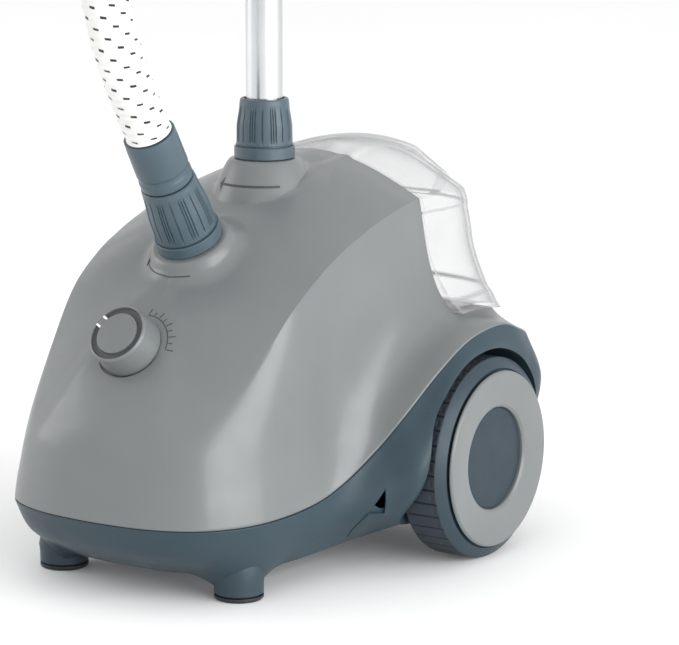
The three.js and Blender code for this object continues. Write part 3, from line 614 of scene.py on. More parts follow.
CROWN = [
    (0, -79, 203), (0, -76, 205), (0, -69, 209), (0, -57, 216),
    (0, -40, 226), (0, -22, 236), (0, -5, 244), (0, 12, 251),
    (0, 34, 257), (0, 58, 262), (0, 80, 264), (0, 100, 267),
    (0, 116, 268), (0, 128, 268), (0, 134, 267), (0, 136, 267)]
BELLY = [
    (0, -168, 34), (44, -163, 34), (74, -147, 34), (92, -115, 35),
    (98, -72, 37), (106, -42, 42), (130, -22, 58), (148, -9, 74),
    (150, 16, 118), (150, 52, 138), (150, 88, 142), (150, 116, 130),
    (143, 145, 105), (104, 169, 95), (52, 177, 92), (0, 178.5, 90)]
KEEL = [
    (0, -140, 17), (40, -136, 17), (66, -121, 17), (84, -90, 18),
    (90, -55, 19), (92, -28, 20), (98, -8, 22), (118, 2, 30),
    (114, 26, 26), (112, 54, 26), (112, 88, 26), (112, 112, 26),
    (108, 135, 26), (88, 152, 25), (45, 160, 25), (0, 162, 25)]
# How hard the crease is at each station, and how much the flank flares out.
EDGE = [0, 0, 0.05, 0.3, 0.75, 1, 1, 1, 1, 1, 1, 0.8, 0.6, 0.6, 0.6, 0.6]
FLARE = [0, 0, 0, 0, 0.1, 0.35, 0.7, 0.9, 1, 1, 1, 1, 0.8, 0.6, 0.5, 0.5]


def along_guide(half, s):
    """A smooth curve through a guide and its mirror image, at s from nose 0 to tail 1."""
    right = np.array(half, float)
    points = np.vstack([right, right[-2:0:-1] * [-1, 1, 1]])
    t = np.atleast_1d(s) * (len(half) - 1)
    i = np.floor(t).astype(int)
    w = (t - i)[:, None]
    a, b, c, d = (points[(i + k) % len(points)] for k in (-1, 0, 1, 2))
    return 0.5 * (2 * b + (c - a) * w + (2 * a - 5 * b + 4 * c - d) * w ** 2
                  + (3 * b - a - 3 * c + d) * w ** 3)


def amount(values, s):
    return along_guide([(0, v, 0) for v in values], s)[:, 1:2]


def length(v):
    return np.linalg.norm(v, axis=-1, keepdims=True)


def unit(v):
    return v / np.maximum(length(v), 1e-9)


def bonnet(s, v):
    """Points of the bonnet, from the seam (v = 0) to the crown line (v = 1)."""
    seam, hip, crease, crown = (along_guide(g, s) for g in (SEAM, HIP, CREASE, CROWN))
    ahead = along_guide(CROWN, np.minimum(1, s + 0.04)) - along_guide(CROWN, np.maximum(0, s - 0.04))
    edge, flare = amount(EDGE, s), amount(FLARE, s)
    skirt, flank, roof = hip - seam, crease - hip, crown - crease
    rise = unit(unit(flank) * (1 - 0.35 * flare) + UP * 0.35 * flare)
    at_hip = unit(unit(skirt) + 0.8 * rise)
    soft = unit(unit(flank) + unit(roof))
    below = unit(soft * (1 - edge) + rise * edge)
    above = unit(soft * (1 - edge) + unit(roof * [1, 1, 1.7]) * edge)
    flat = np.abs(ahead[:, 1:2]) < 1e-6
    slope = np.where(flat, 0, ahead[:, 2:3] / np.where(flat, 1, ahead[:, 1:2]))
    at_crown = unit(np.hstack([roof[:, :1], roof[:, 1:2], roof[:, 1:2] * slope]))
    start = unit(skirt) * (1 - 0.5 * flare) + np.array([-1, 0, 0.25]) * 0.5 * flare
    third = (v * 3)[:, None]
    low = hermite(seam, start * length(skirt), hip, at_hip * length(skirt), third)
    middle = hermite(hip, at_hip * length(flank), crease, below * length(flank), third - 1)
    high = hermite(crease, above * length(roof), crown, at_crown * length(roof), third - 2)
    return np.where(third <= 1, low, np.where(third <= 2, middle, high))


def chassis(s, v):
    """Points of the chassis, from the seam (v = 0) under the belly to the floor (v = 1)."""
    seam, belly, keel = (along_guide(g, s) for g in (SEAM, BELLY, KEEL))
    seam = seam - [0, 0, 2 * GAP]
    upper, lower = belly - seam, keel - belly
    turn = unit(unit(upper) + unit(lower))
    third = (v * 3)[:, None]
    high = hermite(seam, 0.9 * upper, belly, turn * length(upper), third)
    low = hermite(belly, turn * length(lower), keel, 0.9 * lower, third - 1)
    floor = keel + (keel * [0, 1, 1] - keel) * (third - 2)
    return np.where(third <= 1, high, np.where(third <= 2, low, floor))


def skin_normal(surface, s, v):
    step = 2e-3
    s, v = np.clip(s, 3 * step, 1 - 3 * step), np.clip(v, 3 * step, 1 - 3 * step)
    normal = unit(np.cross(surface(s + step, v) - surface(s - step, v),
                           surface(s, v + step) - surface(s, v - step)))
    return -normal if surface is chassis else normal


def loft(name, surface, ribs, rows, inset=0, reach=0, lip=0, shape=None):
    """A closed body: mirrored ribs that end on the middle plane and a lid across its seam.
    inset moves the skin inwards, reach carries the lid past the seam, and lip rounds the
    skin's edge. shape(points) changes the skin's points."""
    stations = np.linspace(0, 1, ribs)
    ribs_points = []
    corner = np.linspace(0, np.pi / 2, 5)[:-1] if lip else []
    levels = [0.0] * len(corner) + [float(r) for r in rows]
    first = along_guide(SEAM, stations)
    second = along_guide(HIP if surface is bonnet else BELLY, stations)
    skirt = 3 * np.linalg.norm(second - first, axis=1)
    for k, row in enumerate(levels):
        v = np.full(ribs, row)
        sunk = np.full(ribs, float(inset))
        if k < len(corner):
            v = lip * (1 - np.cos(corner[k])) / skirt
            sunk += lip * (1 - np.sin(corner[k]))
        elif lip:
            v = np.maximum(v, lip / skirt)
        points = surface(stations, v)
        if sunk.any():
            points = points - skin_normal(surface, stations, v) * sunk[:, None]
        if k == 0:
            points[:, 2] += reach
        if shape is not None:
            points = shape(points)
        points[[0, -1], 0] = 0
        if k == len(levels) - 1:
            points[:, 0] = 0
        ribs_points.append(points)
    lid = ribs_points[0] * [0, 1, 1]
    half = np.array([lid] + ribs_points)
    count = half.shape[0] * half.shape[1]
    faces = grid(half.shape[0], half.shape[1])
    both = np.vstack([half.reshape(-1, 3), half.reshape(-1, 3) * [-1, 1, 1]])
    mirrored = [tuple(i + count for i in reversed(f)) for f in faces]
    return mesh_object(name, both, faces + mirrored, None, 50)


# Flared bosses under the two collars: seat, axis, radius of the flat top and of the foot.
BOSSES = (
    (POLE_SEAT - UP * GAP, UP, 22.5, 38),
    (HOSE_SEAT - HOSE_AXIS * GAP, HOSE_AXIS, 25, 42),
)
# Raised band over the bonnet and tank: y, height, half width on top and at the foot of
# its sloping sides, and how far those sides drop.
SPINE = [
    (-5, 240, 24, 44, 8), (20, 253.5, 32, 48, 9), (45, 258.6, 30, 46, 9.5), (78, 262, 28, 44, 9.5),
    (92, 263.5, 28, 45, 12), (110, 264.5, 29, 48, 15), (128, 264, 30, 52, 17),
    (146, 262, 31, 55, 18), (158, 258.5, 32, 56, 16), (168, 250, 32, 55, 13)]
SPINE_CROWN = {"rise": 4.5, "from": 78, "over": 30}
# How far the skin is drawn down round each front leg, and over what distance.
LEG_FILLET = {"depth": 9, "near": 15, "far": 34, "below": 42}


def smooth_step(x):
    x = np.clip(x, 0, 1)
    return x * x * (3 - 2 * x)


def raise_skin(points):
    """Lifts the bonnet into the bosses under the collars."""
    p = points.copy()
    for seat, axis, top, foot in BOSSES:
        away = p - seat
        height = away @ axis
        radius = np.linalg.norm(away - height[:, None] * axis, axis=1)
        rise = np.clip((foot - radius) / (foot - top), 0, 1) ** 2.5
        near = np.abs(height) < 45
        p += (np.where(near, -height * rise, 0))[:, None] * axis
    return p


def spine_body(name, inset):
    """The raised band as one body, sunk into the skin. inset makes its hollow."""
    stations, _ = smooth_path(SPINE, 8)
    rings = []
    for y, top, half, foot, drop in stations:
        z = top - inset
        right = [(half - 0.4 * inset, z), (foot - inset, z - drop), (foot - 12, z - drop - 14)]
        crown = SPINE_CROWN["rise"] * smooth_step((y - SPINE_CROWN["from"]) / SPINE_CROWN["over"])
        top_arc = [(x, z + crown * (1 - (x / half) ** 2)) for x in np.linspace(-0.8, 0.8, 7) * half]
        section = right + [(-x, h) for x, h in reversed(right)] + top_arc
        rings.append([(x, y, h) for x, h in rounded(section, 2.2, 3, closed=True)])
    points = np.array(rings)
    points[-1, :, 1] -= inset
    sides = points.shape[1]
    faces = grid(len(points), sides, wrap=True) + end_faces(len(points), sides)
    return mesh_object(name, points.reshape(-1, 3), faces)


def draw_down(points):
    """Draws the chassis skin down round the front legs in a hollow fillet."""
    p = points.copy()
    for side, _ in LEFT_RIGHT:
        low, high = span(f"foot_pad_{side}")
        away = np.linalg.norm(p[:, :2] - ((low + high) / 2)[:2], axis=1)
        near = np.clip((LEG_FILLET["far"] - away) / (LEG_FILLET["far"] - LEG_FILLET["near"]), 0, 1) ** 2
        p[:, 2] -= LEG_FILLET["depth"] * near * np.clip((LEG_FILLET["below"] - p[:, 2]) / 22, 0, 1)
    return p


BONNET_ROWS = np.concatenate([np.linspace(0, 1 / 3, 18), np.linspace(1 / 3, 2 / 3, 34)[1:],
                              np.linspace(2 / 3, 1, 46)[1:]])
CHASSIS_ROWS = np.concatenate([np.linspace(0, 1 / 3, 16), np.linspace(1 / 3, 2 / 3, 14)[1:],
                               np.linspace(2 / 3, 1, 4)[1:]])
RIBS = 180


def above_deck(front, lift, name="deck_cutter"):
    """A prism across X above the arched tank deck and behind y = front."""
    outline = [(front, 320), (front, DECK["front"] + lift)]
    for t in np.linspace(0, 1, 17)[1:]:
        y = (1 - t) ** 2 * front + 2 * t * (1 - t) * DECK["arch_y"] + t * t * 200
        z = ((1 - t) ** 2 * DECK["front"] + 2 * t * (1 - t) * DECK["arch"] + t * t * DECK["back"]) + lift
        outline.append((y, z))
    outline.append((200, 320))
    return prism(name, outline, -200, 200, to_3d=lambda y, z, x: (x, y, z))


def cylinder_x(radius, inner, outer, side, sides=96):
    return rod("cutter", radius, inner, outer, None, WHEEL_CENTRE, (side, 0, 0), sides=sides)


def boss_cone(top):
    """The steep skirt of a boss, which meets the bonnet in a clear edge."""
    skirt = [(0, -34), (top + 17.5, -34), (top + 14.5, -27), (top + 10.5, -18), (top + 6.8, -10),
             (top + 4, -4.5), (top + 2.2, -1.6), (top + 0.8, -0.3), (top - 0.4, 0), (0, 0)]
    return rounded(skirt[1:-1], 2, 3).tolist()


# Radii of the round holes that other parts pass through or sit in, and the tank neck's place.
HOLES = {"collar": 19.35, "dial": 23.4, "dial_shaft": 3.9, "tank_neck": 18.4, "axle": 5.35,
         "drain_plug": 12.35, "gland": 8.35, "screw": 2.35}
TANK_NECK = {"place": (0, 122, 161), "outer": 17, "inner": 14.8}


def make_shell():
    shell = loft("shell_skin", bonnet, RIBS, BONNET_ROWS, lip=LIP, shape=raise_skin)
    hollow = loft("shell_hollow", bonnet, 75, BONNET_ROWS[::2], inset=WALL, reach=-4)
    carve(hollow,
          ("UNION", spine_body("spine_hollow", WALL)),
          ("DIFFERENCE", above_deck(TANK_FRONT - WALL, -WALL)))
    carve(shell,
          ("UNION", spine_body("spine", 0)),
          *[("UNION", lathe("boss", [(0, -34), *boss_cone(top), (0, 0)], None, seat, axis, 144))
            for seat, axis, top, _ in BOSSES],
          ("DIFFERENCE", above_deck(TANK_FRONT, 0)),
          ("DIFFERENCE", hollow),
          ("DIFFERENCE", rod("cutter", HOLES["collar"], -90, 20, None, BOSSES[0][0], UP)),
          ("DIFFERENCE", rod("cutter", HOLES["collar"], -40, 20, None, BOSSES[1][0], HOSE_AXIS)),
          ("DIFFERENCE", rod("cutter", HOLES["dial"], 1.1, 30, None, DIAL_SEAT, DIAL_AXIS)),
          ("DIFFERENCE", rod("cutter", HOLES["dial_shaft"], -30, 20, None, DIAL_SEAT, DIAL_AXIS)),
          ("DIFFERENCE", rod("cutter", HOLES["tank_neck"], -30, 20, None, TANK_NECK["place"])))
    only_paint(shell, "shell_grey")
    return stand_in(shell, "base", "shell_grey", "upper_shell")


# The recess ahead of each wheel and the fold that runs down from it, as places (s, v).
NOTCH = [(0.392, 0.262), (0.398, 0.446), (0.367, 0.378)]
FOLD = [(0.367, 0.380), (0.361, 0.415), (0.355, 0.463), (0.351, 0.530), (0.350, 0.600)]


def notch_cutters(side):
    mirror = np.array([side, 1, 1])
    s, v = np.array(NOTCH).T
    corners = chassis(s, v) * mirror
    outward = skin_normal(chassis, s.mean(keepdims=True), v.mean(keepdims=True))[0] * mirror
    wedge = np.vstack([corners + 4 * outward, corners - 1.5 * outward])
    faces = [(0, 1, 2), (5, 4, 3), (0, 1, 4, 3), (1, 2, 5, 4), (2, 0, 3, 5)]
    s, v = np.array(FOLD).T
    places, directions = smooth_path(chassis(s, v) * mirror, 8)
    radius = np.linspace(1.3, 0.7, len(places))
    return mesh_object("notch", wedge, faces), tube("fold", places, directions, radius, None, 12)


def make_chassis():
    body = loft("chassis_skin", chassis, RIBS, CHASSIS_ROWS, lip=0.8, shape=draw_down)
    inner = loft("chassis_hollow", chassis, 75, CHASSIS_ROWS[::2], inset=WALL, reach=4)
    steps = [("DIFFERENCE", inner)]
    for _, side in LEFT_RIGHT:
        liner = cylinder_x(WELL["radius"] + WALL, WELL["inner"] - WALL, WELL["outer"], side)
        carve(liner, ("INTERSECT", loft("chassis_copy", chassis, RIBS, CHASSIS_ROWS)))
        steps.append(("UNION", liner))
    for side, _ in LEFT_RIGHT:
        low, high = span(f"foot_pad_{side}")
        centre, radius = (low + high) / 2, (high[0] - low[0]) / 2
        bottom = high[2] + GAP
        profile = [
            (0, bottom), (radius - 1, bottom), (radius, bottom + 1), (radius, bottom + 7),
            (radius + 0.6, bottom + 12), (radius - 1, bottom + 22), (radius - 6, bottom + 27),
            (0, bottom + 28)]
        steps.append(("UNION", lathe("leg", profile, None, (centre[0], centre[1], 0))))
    for _, side in LEFT_RIGHT:
        steps.append(("DIFFERENCE", cylinder_x(WELL["radius"], WELL["inner"], WELL["outer"], side)))
        steps += [("DIFFERENCE", cutter) for cutter in notch_cutters(side)]
    steps.append(("DIFFERENCE", rod("cutter", HOLES["axle"], -200, 200, None, WHEEL_CENTRE, (1, 0, 0))))
    low, high = span("drain_plug")
    place = ((low + high) / 2) * [1, 1, 0]
    steps.append(("DIFFERENCE", rod("cutter", HOLES["drain_plug"], 0, 40, None, place)))
    gland_low, gland_high = span("cord_gland")
    place = (gland_low + gland_high) / 2
    steps.append(("DIFFERENCE", rod("cutter", HOLES["gland"], -60, 40, None, place, (0, 1, 0))))
    for i in range(4):
        low, high = span(f"chassis_screw_{i + 1}")
        place = ((low + high) / 2) * [1, 1, 0]
        steps.append(("DIFFERENCE", rod("cutter", HOLES["screw"], 0, 40, None, place, sides=24)))
    carve(body, *steps)
    only_paint(body, "slate")
    return stand_in(body, "base", "slate", "lower_chassis")


shell = make_shell()
make_chassis()


# ------------------------------------------------------------------ water tank
def tank_ribs(points):
    """Two shallow ledges round the tank, and a flare towards its foot."""
    p = points.copy()
    behind = p[:, 1] > TANK_FRONT
    outward = unit(np.column_stack([p[:, 0], np.maximum(p[:, 1] - 90, 0), np.zeros(len(p))]))
    ledge = 1.6 * (1 - smooth_step((p[:, 2] - 165) / 5)) + 1.2 * smooth_step((p[:, 2] - 224) / 5)
    ledge *= 1 - smooth_step((p[:, 2] - 236) / 8)
    ledge += 5 * smooth_step((205 - p[:, 2]) / 40)
    p[behind] += (outward * ledge[:, None])[behind]
    return p


def make_tank():
    tank = loft("tank_skin", bonnet, RIBS, BONNET_ROWS, shape=tank_ribs)
    carve(tank,
          ("UNION", spine_body("spine", 0)),
          ("INTERSECT", above_deck(TANK_FRONT + 0.6, 0.6)))
    inner = loft("tank_hollow", bonnet, RIBS, BONNET_ROWS, inset=WALL, shape=tank_ribs)
    carve(inner,
          ("UNION", spine_body("spine_hollow", WALL)),
          ("INTERSECT", above_deck(TANK_FRONT + 0.6 + WALL, 0.6 + WALL)))
    carve(tank, ("DIFFERENCE", inner))
    carve(tank,
          ("UNION", rod("neck", TANK_NECK["outer"], -14, 6, None, TANK_NECK["place"])),
          ("DIFFERENCE", rod("cutter", TANK_NECK["inner"], -20, 12, None, TANK_NECK["place"])))
    only_paint(tank, "clear_tank")
    return stand_in(tank, "tank", "clear_tank", "water_tank")


make_tank()


# ------------------------------------------------------------------ collars
FLUTES = {"panels": 8, "places": (0.08, 0.2, 0.32, 0.68), "half_width": 0.04, "depth": 0.9}


def fluted(low, high):
    """Cuts groups of upright grooves between the two heights, with flat panels between them."""
    def ripple(radius, height, angle):
        within = smooth_step((height - low) / 3) * smooth_step((high - height) / 6)
        phase = np.mod(angle * FLUTES["panels"] / (2 * np.pi), 1)
        nearest = np.min([np.abs(phase - place) for place in FLUTES["places"]], axis=0)
        groove = smooth_step((FLUTES["half_width"] - nearest) / 0.025)
        return radius - FLUTES["depth"] * within * np.where(radius > 14, groove, 0)
    return ripple


def make_collar(name, body, node, seat, axis, height, base, top, bore):
    profile = [
        (base - 0.4, 0), (base, 0.5), (base, 7.4), (base - 0.5, 8), (base - 2.2, 8.1), (base - 2.2, 9.0),
        (base - 1.0, 9.2)]
    for t in np.linspace(0, 1, 24):
        radius = base - 1.6 - (base - 2.0 - top) * (0.12 * t + 0.88 * smooth_step((t - 0.38) / 0.62))
        profile.append((radius, 9.4 + (height - 13) * t))
    profile += [(top + 0.2, height - 2.4), (top, height - 0.8), (top - 0.8, height), (top - 2.6, height),
                (bore + 0.7, height - 0.7), (bore + 0.7, height - 9), (bore, height - 9.5), (bore, 0)]
    ripple = fluted(10, height - 3.4)
    collar = lathe(name, profile, paint["collar"], seat, axis, sides=504, sharp=28, ripple=ripple)
    return stand_in(collar, body, "slate", node)


make_collar("pole_collar_fluted", "pole_lock", "pole_collar", POLE_SEAT, UP, 40, 20.5, 16.4, 12.9)
make_collar("hose_collar_fluted", "hose_lock", "hose_collar", HOSE_SEAT, HOSE_AXIS, 47.7, 22.4, 18.4, 13.2)


# ------------------------------------------------------------------ dial
DIAL = {"height": 20.6, "radius": 20.4, "outer": 18.8, "inner": 14.6, "depth": 2.4, "pointer": 66}


def make_dial():
    top = DIAL["height"]
    profile = [
        (0, 1.6), (DIAL["radius"] + 1.4, 1.6), (DIAL["radius"] + 1.2, 4), (DIAL["radius"], top - 1.4),
        (DIAL["radius"] - 1, top), (DIAL["outer"], top), (DIAL["outer"], top - DIAL["depth"]),
        (DIAL["inner"], top - DIAL["depth"]), (DIAL["inner"], top), (0, top + 0.1)]
    knob = lathe("dial_knob_cap", profile, paint["shell_grey"], DIAL_SEAT, DIAL_AXIS, round_off=0.5)
    middle = (DIAL["outer"] + DIAL["inner"]) / 2
    floor = top - DIAL["depth"]
    bridge = block("bridge", (-2.6, DIAL["inner"] - 0.4, floor - 0.5), (2.6, DIAL["outer"] + 0.4, top - 0.2),
                   paint["shell_grey"], 0.4)
    stripes = [block("stripe", (x - 0.75, DIAL["inner"] + 0.1, floor),
                     (x + 0.75, DIAL["outer"] - 0.1, top - 0.05), paint["white"], 0.3) for x in (-3.3, 3.3)]
    pointer = joined("dial_pointer", bridge, *stripes)
    turn = Matrix.Rotation(math.radians(DIAL["pointer"]), 3, "Z")
    co = np.array([v.co for v in pointer.data.vertices]) @ np.array(turn).T
    pointer.data.vertices.foreach_set("co", placed(co, DIAL_SEAT * MM, DIAL_AXIS).ravel())
    stand_in(knob, "dial", "shell_grey", "dial_knob")
    stand_in(pointer, "dial", "shell_grey")
    ring = lathe("dial_groove_ring", [
        (DIAL["inner"] + 0.15, floor + 0.05), (DIAL["outer"] - 0.15, floor + 0.05),
        (DIAL["outer"] - 0.3, floor + 0.9), (middle, floor + 0.5), (DIAL["inner"] + 0.3, floor + 0.9)],
        paint["dial_dark"], DIAL_SEAT, DIAL_AXIS)
    stand_in(ring, "dial", "dark", "dial_ring")


make_dial()


# ------------------------------------------------------------------ marks on the shell
def skin_finder(obj):
    return BVHTree.FromPolygons([v.co.copy() for v in obj.data.vertices],
                                [tuple(p.vertices) for p in obj.data.polygons])


def mark(tree, outline, seat, axis, height=0.12):
    """A thin raised mark. outline gives (x, y) points of a strip's two sides in the plane
    across axis, and each is dropped along the axis onto the skin."""
    points, faces = [], []
    turn = turn_to(axis)
    direction = Vector(-np.asarray(axis))
    for pair in outline:
        for x, y in pair:
            start = np.array([x, y, 40]) @ turn.T + seat
            hit, normal, _, _ = tree.ray_cast(Vector(start * MM), direction)
            if hit is None:
                return [], []
            points.append(np.array(hit) / MM + np.array(normal) * height)
            points.append(np.array(hit) / MM - np.array(normal) * 0.3)
    n = len(outline)
    for i in range(n - 1):
        a, b = 4 * i, 4 * (i + 1)
        faces += [(a, a + 2, b + 2, b), (a + 1, b + 1, b + 3, a + 3),
                  (a, b, b + 1, a + 1), (a + 2, a + 3, b + 3, b + 2)]
    faces += [(0, 1, 3, 2), (4 * n - 4, 4 * n - 2, 4 * n - 1, 4 * n - 3)]
    return points, faces


def arc_strip(radius, width, start, end, steps=40):
    angles = np.radians(np.linspace(start, end, steps))
    return [tuple((r * math.cos(a), r * math.sin(a)) for r in (radius, radius + width)) for a in angles]


def arrow_head(radius, angle, size, way):
    """A small triangle at the end of an arc, pointing on round it."""
    a = math.radians(angle)
    step = way * size / radius
    tip = (radius * math.cos(a + step), radius * math.sin(a + step))
    inner = ((radius - size / 2) * math.cos(a), (radius - size / 2) * math.sin(a))
    outer = ((radius + size / 2) * math.cos(a), (radius + size / 2) * math.sin(a))
    return [(inner, outer), (tip, (tip[0] + 0.02, tip[1] + 0.02))]


def radial_tick(angle, inner, outer, width):
    a = math.radians(angle)
    along, across = np.array([math.cos(a), math.sin(a)]), np.array([-math.sin(a), math.cos(a)]) * width / 2
    return [tuple(map(tuple, (along * r - across, along * r + across))) for r in np.linspace(inner, outer, 4)]


def make_marks():
    tree = skin_finder(shell)
    strips = []
    arrows = ((POLE_SEAT, UP, 31.5, -123, -36), (HOSE_SEAT, HOSE_AXIS, 31, -150, -62))
    for seat, axis, radius, start, end in arrows:
        strips.append((arc_strip(radius, 0.7, start + 7, end), seat, axis))
        strips.append((arrow_head(radius + 0.35, start + 8, 4.4, -1), seat, axis))
    strips.append((arc_strip(25.5, 0.7, 5, 89), DIAL_SEAT, DIAL_AXIS))
    for i in range(9):
        reach = 4.4 if i % 2 == 0 else 2.6
        strips.append((radial_tick(5 + 10.5 * i, 26.6, 26.6 + reach, 0.7), DIAL_SEAT, DIAL_AXIS))
    points, faces = [], []
    for outline, seat, axis in strips:
        new_points, new_faces = mark(tree, outline, seat, axis)
        faces += [tuple(i + len(points) for i in f) for f in new_faces]
        points += new_points
    marks = mesh_object("shell_marks", points, faces, paint["mark"], weld=False)
    stand_in(marks, "base", "dark")


make_marks()


# ------------------------------------------------------------------ wheels
TREAD = {"bars": 42, "depth": 1.3}


def tread(inner, outer):
    def ripple(radius, height, angle):
        across = smooth_step((height - inner - 2) / 1.0) * smooth_step((outer - 5 - height) / 1.0)
        phase = np.abs(np.mod(angle * TREAD["bars"] / (2 * np.pi), 1) - 0.5) * 2
        groove = across * smooth_step((0.15 - phase) / 0.1)
        edge = smooth_step((height - outer + 9.4) / 0.6) * smooth_step((outer - 7.2 - height) / 0.6)
        slot = 0.45 * edge * smooth_step((phase - 0.6) / 0.1)
        return radius - TREAD["depth"] * np.maximum(groove, slot) * (radius > 60)
    return ripple


def make_wheel(name, side):
    low, high = span(f"tyre_{name}")
    radius = (high[2] - low[2]) / 2
    inner, rim = (low[0], high[0]) if side > 0 else (-high[0], -low[0])
    disc_low, disc_high = span(f"hub_disc_{name}")
    face = max(abs(disc_low[0]), abs(disc_high[0]))
    disc_radius, cap_radius = 59.6, 34.1
    body = f"wheel_{name}"
    axis = (side, 0, 0)
    tread_rows = [(radius, h) for h in np.linspace(inner + 2.4, rim - 5, 26)]
    tyre = lathe(f"tyre_tread_{name}", [
        (50, inner), (radius - 2, inner), (radius - 0.4, inner + 0.8), *tread_rows, (radius - 0.5, rim - 4.3),
        (disc_radius + 1.4, rim), (disc_radius + 0.5, rim - 0.6),
        (disc_radius + 0.5, rim - 1), (50, rim - 1)], paint["tyre_slate"], WHEEL_CENTRE, axis, sides=504,
        ripple=tread(inner, rim))
    tyre.data.materials.append(paint["rim"])
    for polygon in tyre.data.polygons:
        centre = np.array(polygon.center) / MM
        if abs(centre[0]) > rim - 4.6:
            polygon.material_index = 1
    stand_in(tyre, body, "tyre_slate", f"tyre_{name}")
    disc = lathe(f"hub_disc_dished_{name}", [
        (HOLES["axle"], inner + 2), (14, inner + 2), (14, 140), (49.7, 144), (49.7, rim - 0.6),
        (disc_radius, rim + 1.2), (disc_radius, face - 1.2), (disc_radius - 1.2, face),
        (cap_radius + 2.4, face - 2.0), (cap_radius + 0.6, face - 3.4), (cap_radius + 0.6, 151),
        (HOLES["axle"], 151)], paint["shell_grey"], WHEEL_CENTRE, axis, sides=144, round_off=0.5)
    stand_in(disc, body, "shell_grey", f"hub_disc_{name}")
    cap = lathe(f"hub_cap_recessed_{name}", [
        (0, 151.4), (cap_radius, 151.4), (cap_radius, face - 4.8), (0, face - 4.1)],
        paint["cap_slate"], WHEEL_CENTRE, axis, sides=144, round_off=0.6)
    stand_in(cap, body, "cap_slate", f"hub_cap_{name}")


for wheel_name, wheel_side in LEFT_RIGHT:
    make_wheel(wheel_name, wheel_side)


# ------------------------------------------------------------------ feet
def make_feet():
    for name, _ in LEFT_RIGHT:
        low, high = span(f"foot_pad_{name}")
        centre, radius = (low + high) / 2, (high[0] - low[0]) / 2
        pad = lathe(f"foot_rubber_{name}", [
            (0, 0.6), (radius - 5, 0.6), (radius - 4.4, 0), (radius - 1.2, 0), (radius, 1.2),
            (radius, high[2]), (0, high[2])],
            paint["dark"], (centre[0], centre[1], 0), round_off=0.3)
        stand_in(pad, "base", "dark", f"foot_pad_{name}")


make_feet()


# ------------------------------------------------------------------ pole
TUBE_BODIES = ("base", "pole_second", "pole_third", "pole_top")
LEVER_BODIES = ("lever_low", "lever_middle", "lever_high")


def make_pole():
    for i, body in enumerate(TUBE_BODIES):
        node = f"pole_tube_{i + 1}"
        low, high = span(node)
        radius = (high[0] - low[0]) / 2
        seat = ((low[0] + high[0]) / 2, (low[1] + high[1]) / 2, 0)
        tube_piece = lathe(f"pole_section_{i + 1}", [
            (radius - 1.2, low[2]), (radius, low[2]), (radius, high[2]), (radius - 1.2, high[2])],
            paint["aluminium"], seat, sides=64, round_off=0.3)
        stand_in(tube_piece, body, "aluminium", node)


def make_clamp(index):
    node = f"pole_clamp_{index + 1}"
    tube_low, tube_top = span(f"pole_tube_{index + 1}")
    radius = (tube_top[0] - tube_low[0]) / 2
    next_low, next_high = span(f"pole_tube_{index + 2}")
    upper = (next_high[0] - next_low[0]) / 2 + GAP
    low, high = span(node)
    seat, top, outer = low[2], high[2], high[0]
    pole_y = POLE_SEAT[1]
    band = lathe(f"clamp_band_{index + 1}", [
        (radius + GAP, seat), (outer - 1.2, seat), (outer, seat + 1.2), (outer, seat + 12),
        (outer - 1.2, seat + 14), (outer - 1.2, seat + 20), (outer, seat + 22), (outer, top - 4),
        (outer - 2.5, top), (upper, top),
        (upper, tube_top[2] + GAP), (radius + GAP, tube_top[2] + GAP)],
        paint["dark"], (0, pole_y, 0), round_off=0.5)
    lug = block("lug", (low[0], pole_y - 4, seat + 4), (-outer + 2.5, pole_y + 4, seat + 12),
                paint["dark"], 1)
    carve(band, ("UNION", lug))
    stand_in(band, TUBE_BODIES[index], "dark", node)
    lever_node = f"clamp_lever_{index + 1}"
    lever_low, lever_high = span(lever_node)
    pivot = lever_low[0] + 2.5
    outline = [(pivot - 2.5, 3), (pivot - 2.5, -8), (pivot + 4.5, -20), (pivot + 8, -18),
               (pivot + 2.5, -7), (pivot + 2.5, 3)]
    lever = prism(f"clamp_flipper_{index + 1}", outline, lever_low[2], lever_high[2], paint["collar"],
                  to_3d=lambda x, y, z: (x, pole_y + y, z))
    bevelled(lever, 1.1, 3, 30)
    stand_in(lever, LEVER_BODIES[index], "slate", lever_node)


make_pole()
for clamp_index in range(3):
    make_clamp(clamp_index)


# ------------------------------------------------------------------ hanger and pole head
def section_sweep(name, path, width, depth, material, notch=None, per_span=8, corner=3.0):
    """A bar of rounded rectangular section along a path in the XZ plane."""
    places, directions = smooth_path([(x, 0, z) for x, z in path], per_span)
    across, deep = width / 2, depth / 2
    corners = [(-across, -deep), (across, -deep), (across, deep), (-across, deep)]
    outline = rounded(corners, corner, 3, closed=True)
    rings = []
    for place, direction in zip(places, directions):
        across = np.cross(direction, (0, 1, 0))
        if across[2] < 0:
            across = -across
        ring = np.array([place + across * a + np.array([0, 1, 0]) * b for a, b in outline])
        if notch is not None:
            dip = notch[1] * max(0, 1 - abs(place[0] - notch[0]) / notch[2])
            ring -= np.outer(np.clip(outline[:, 0] / (width / 2), 0, 1) * dip, across)
        rings.append(ring)
    points = np.array(rings)
    points[:, :, 1] += span("hanger_arm_left")[0][1] + depth / 2
    count = len(outline)
    faces = grid(len(rings), count, wrap=True) + end_faces(len(rings), count)
    return mesh_object(name, points.reshape(-1, 3), faces, material, sharp=50, weld=False)


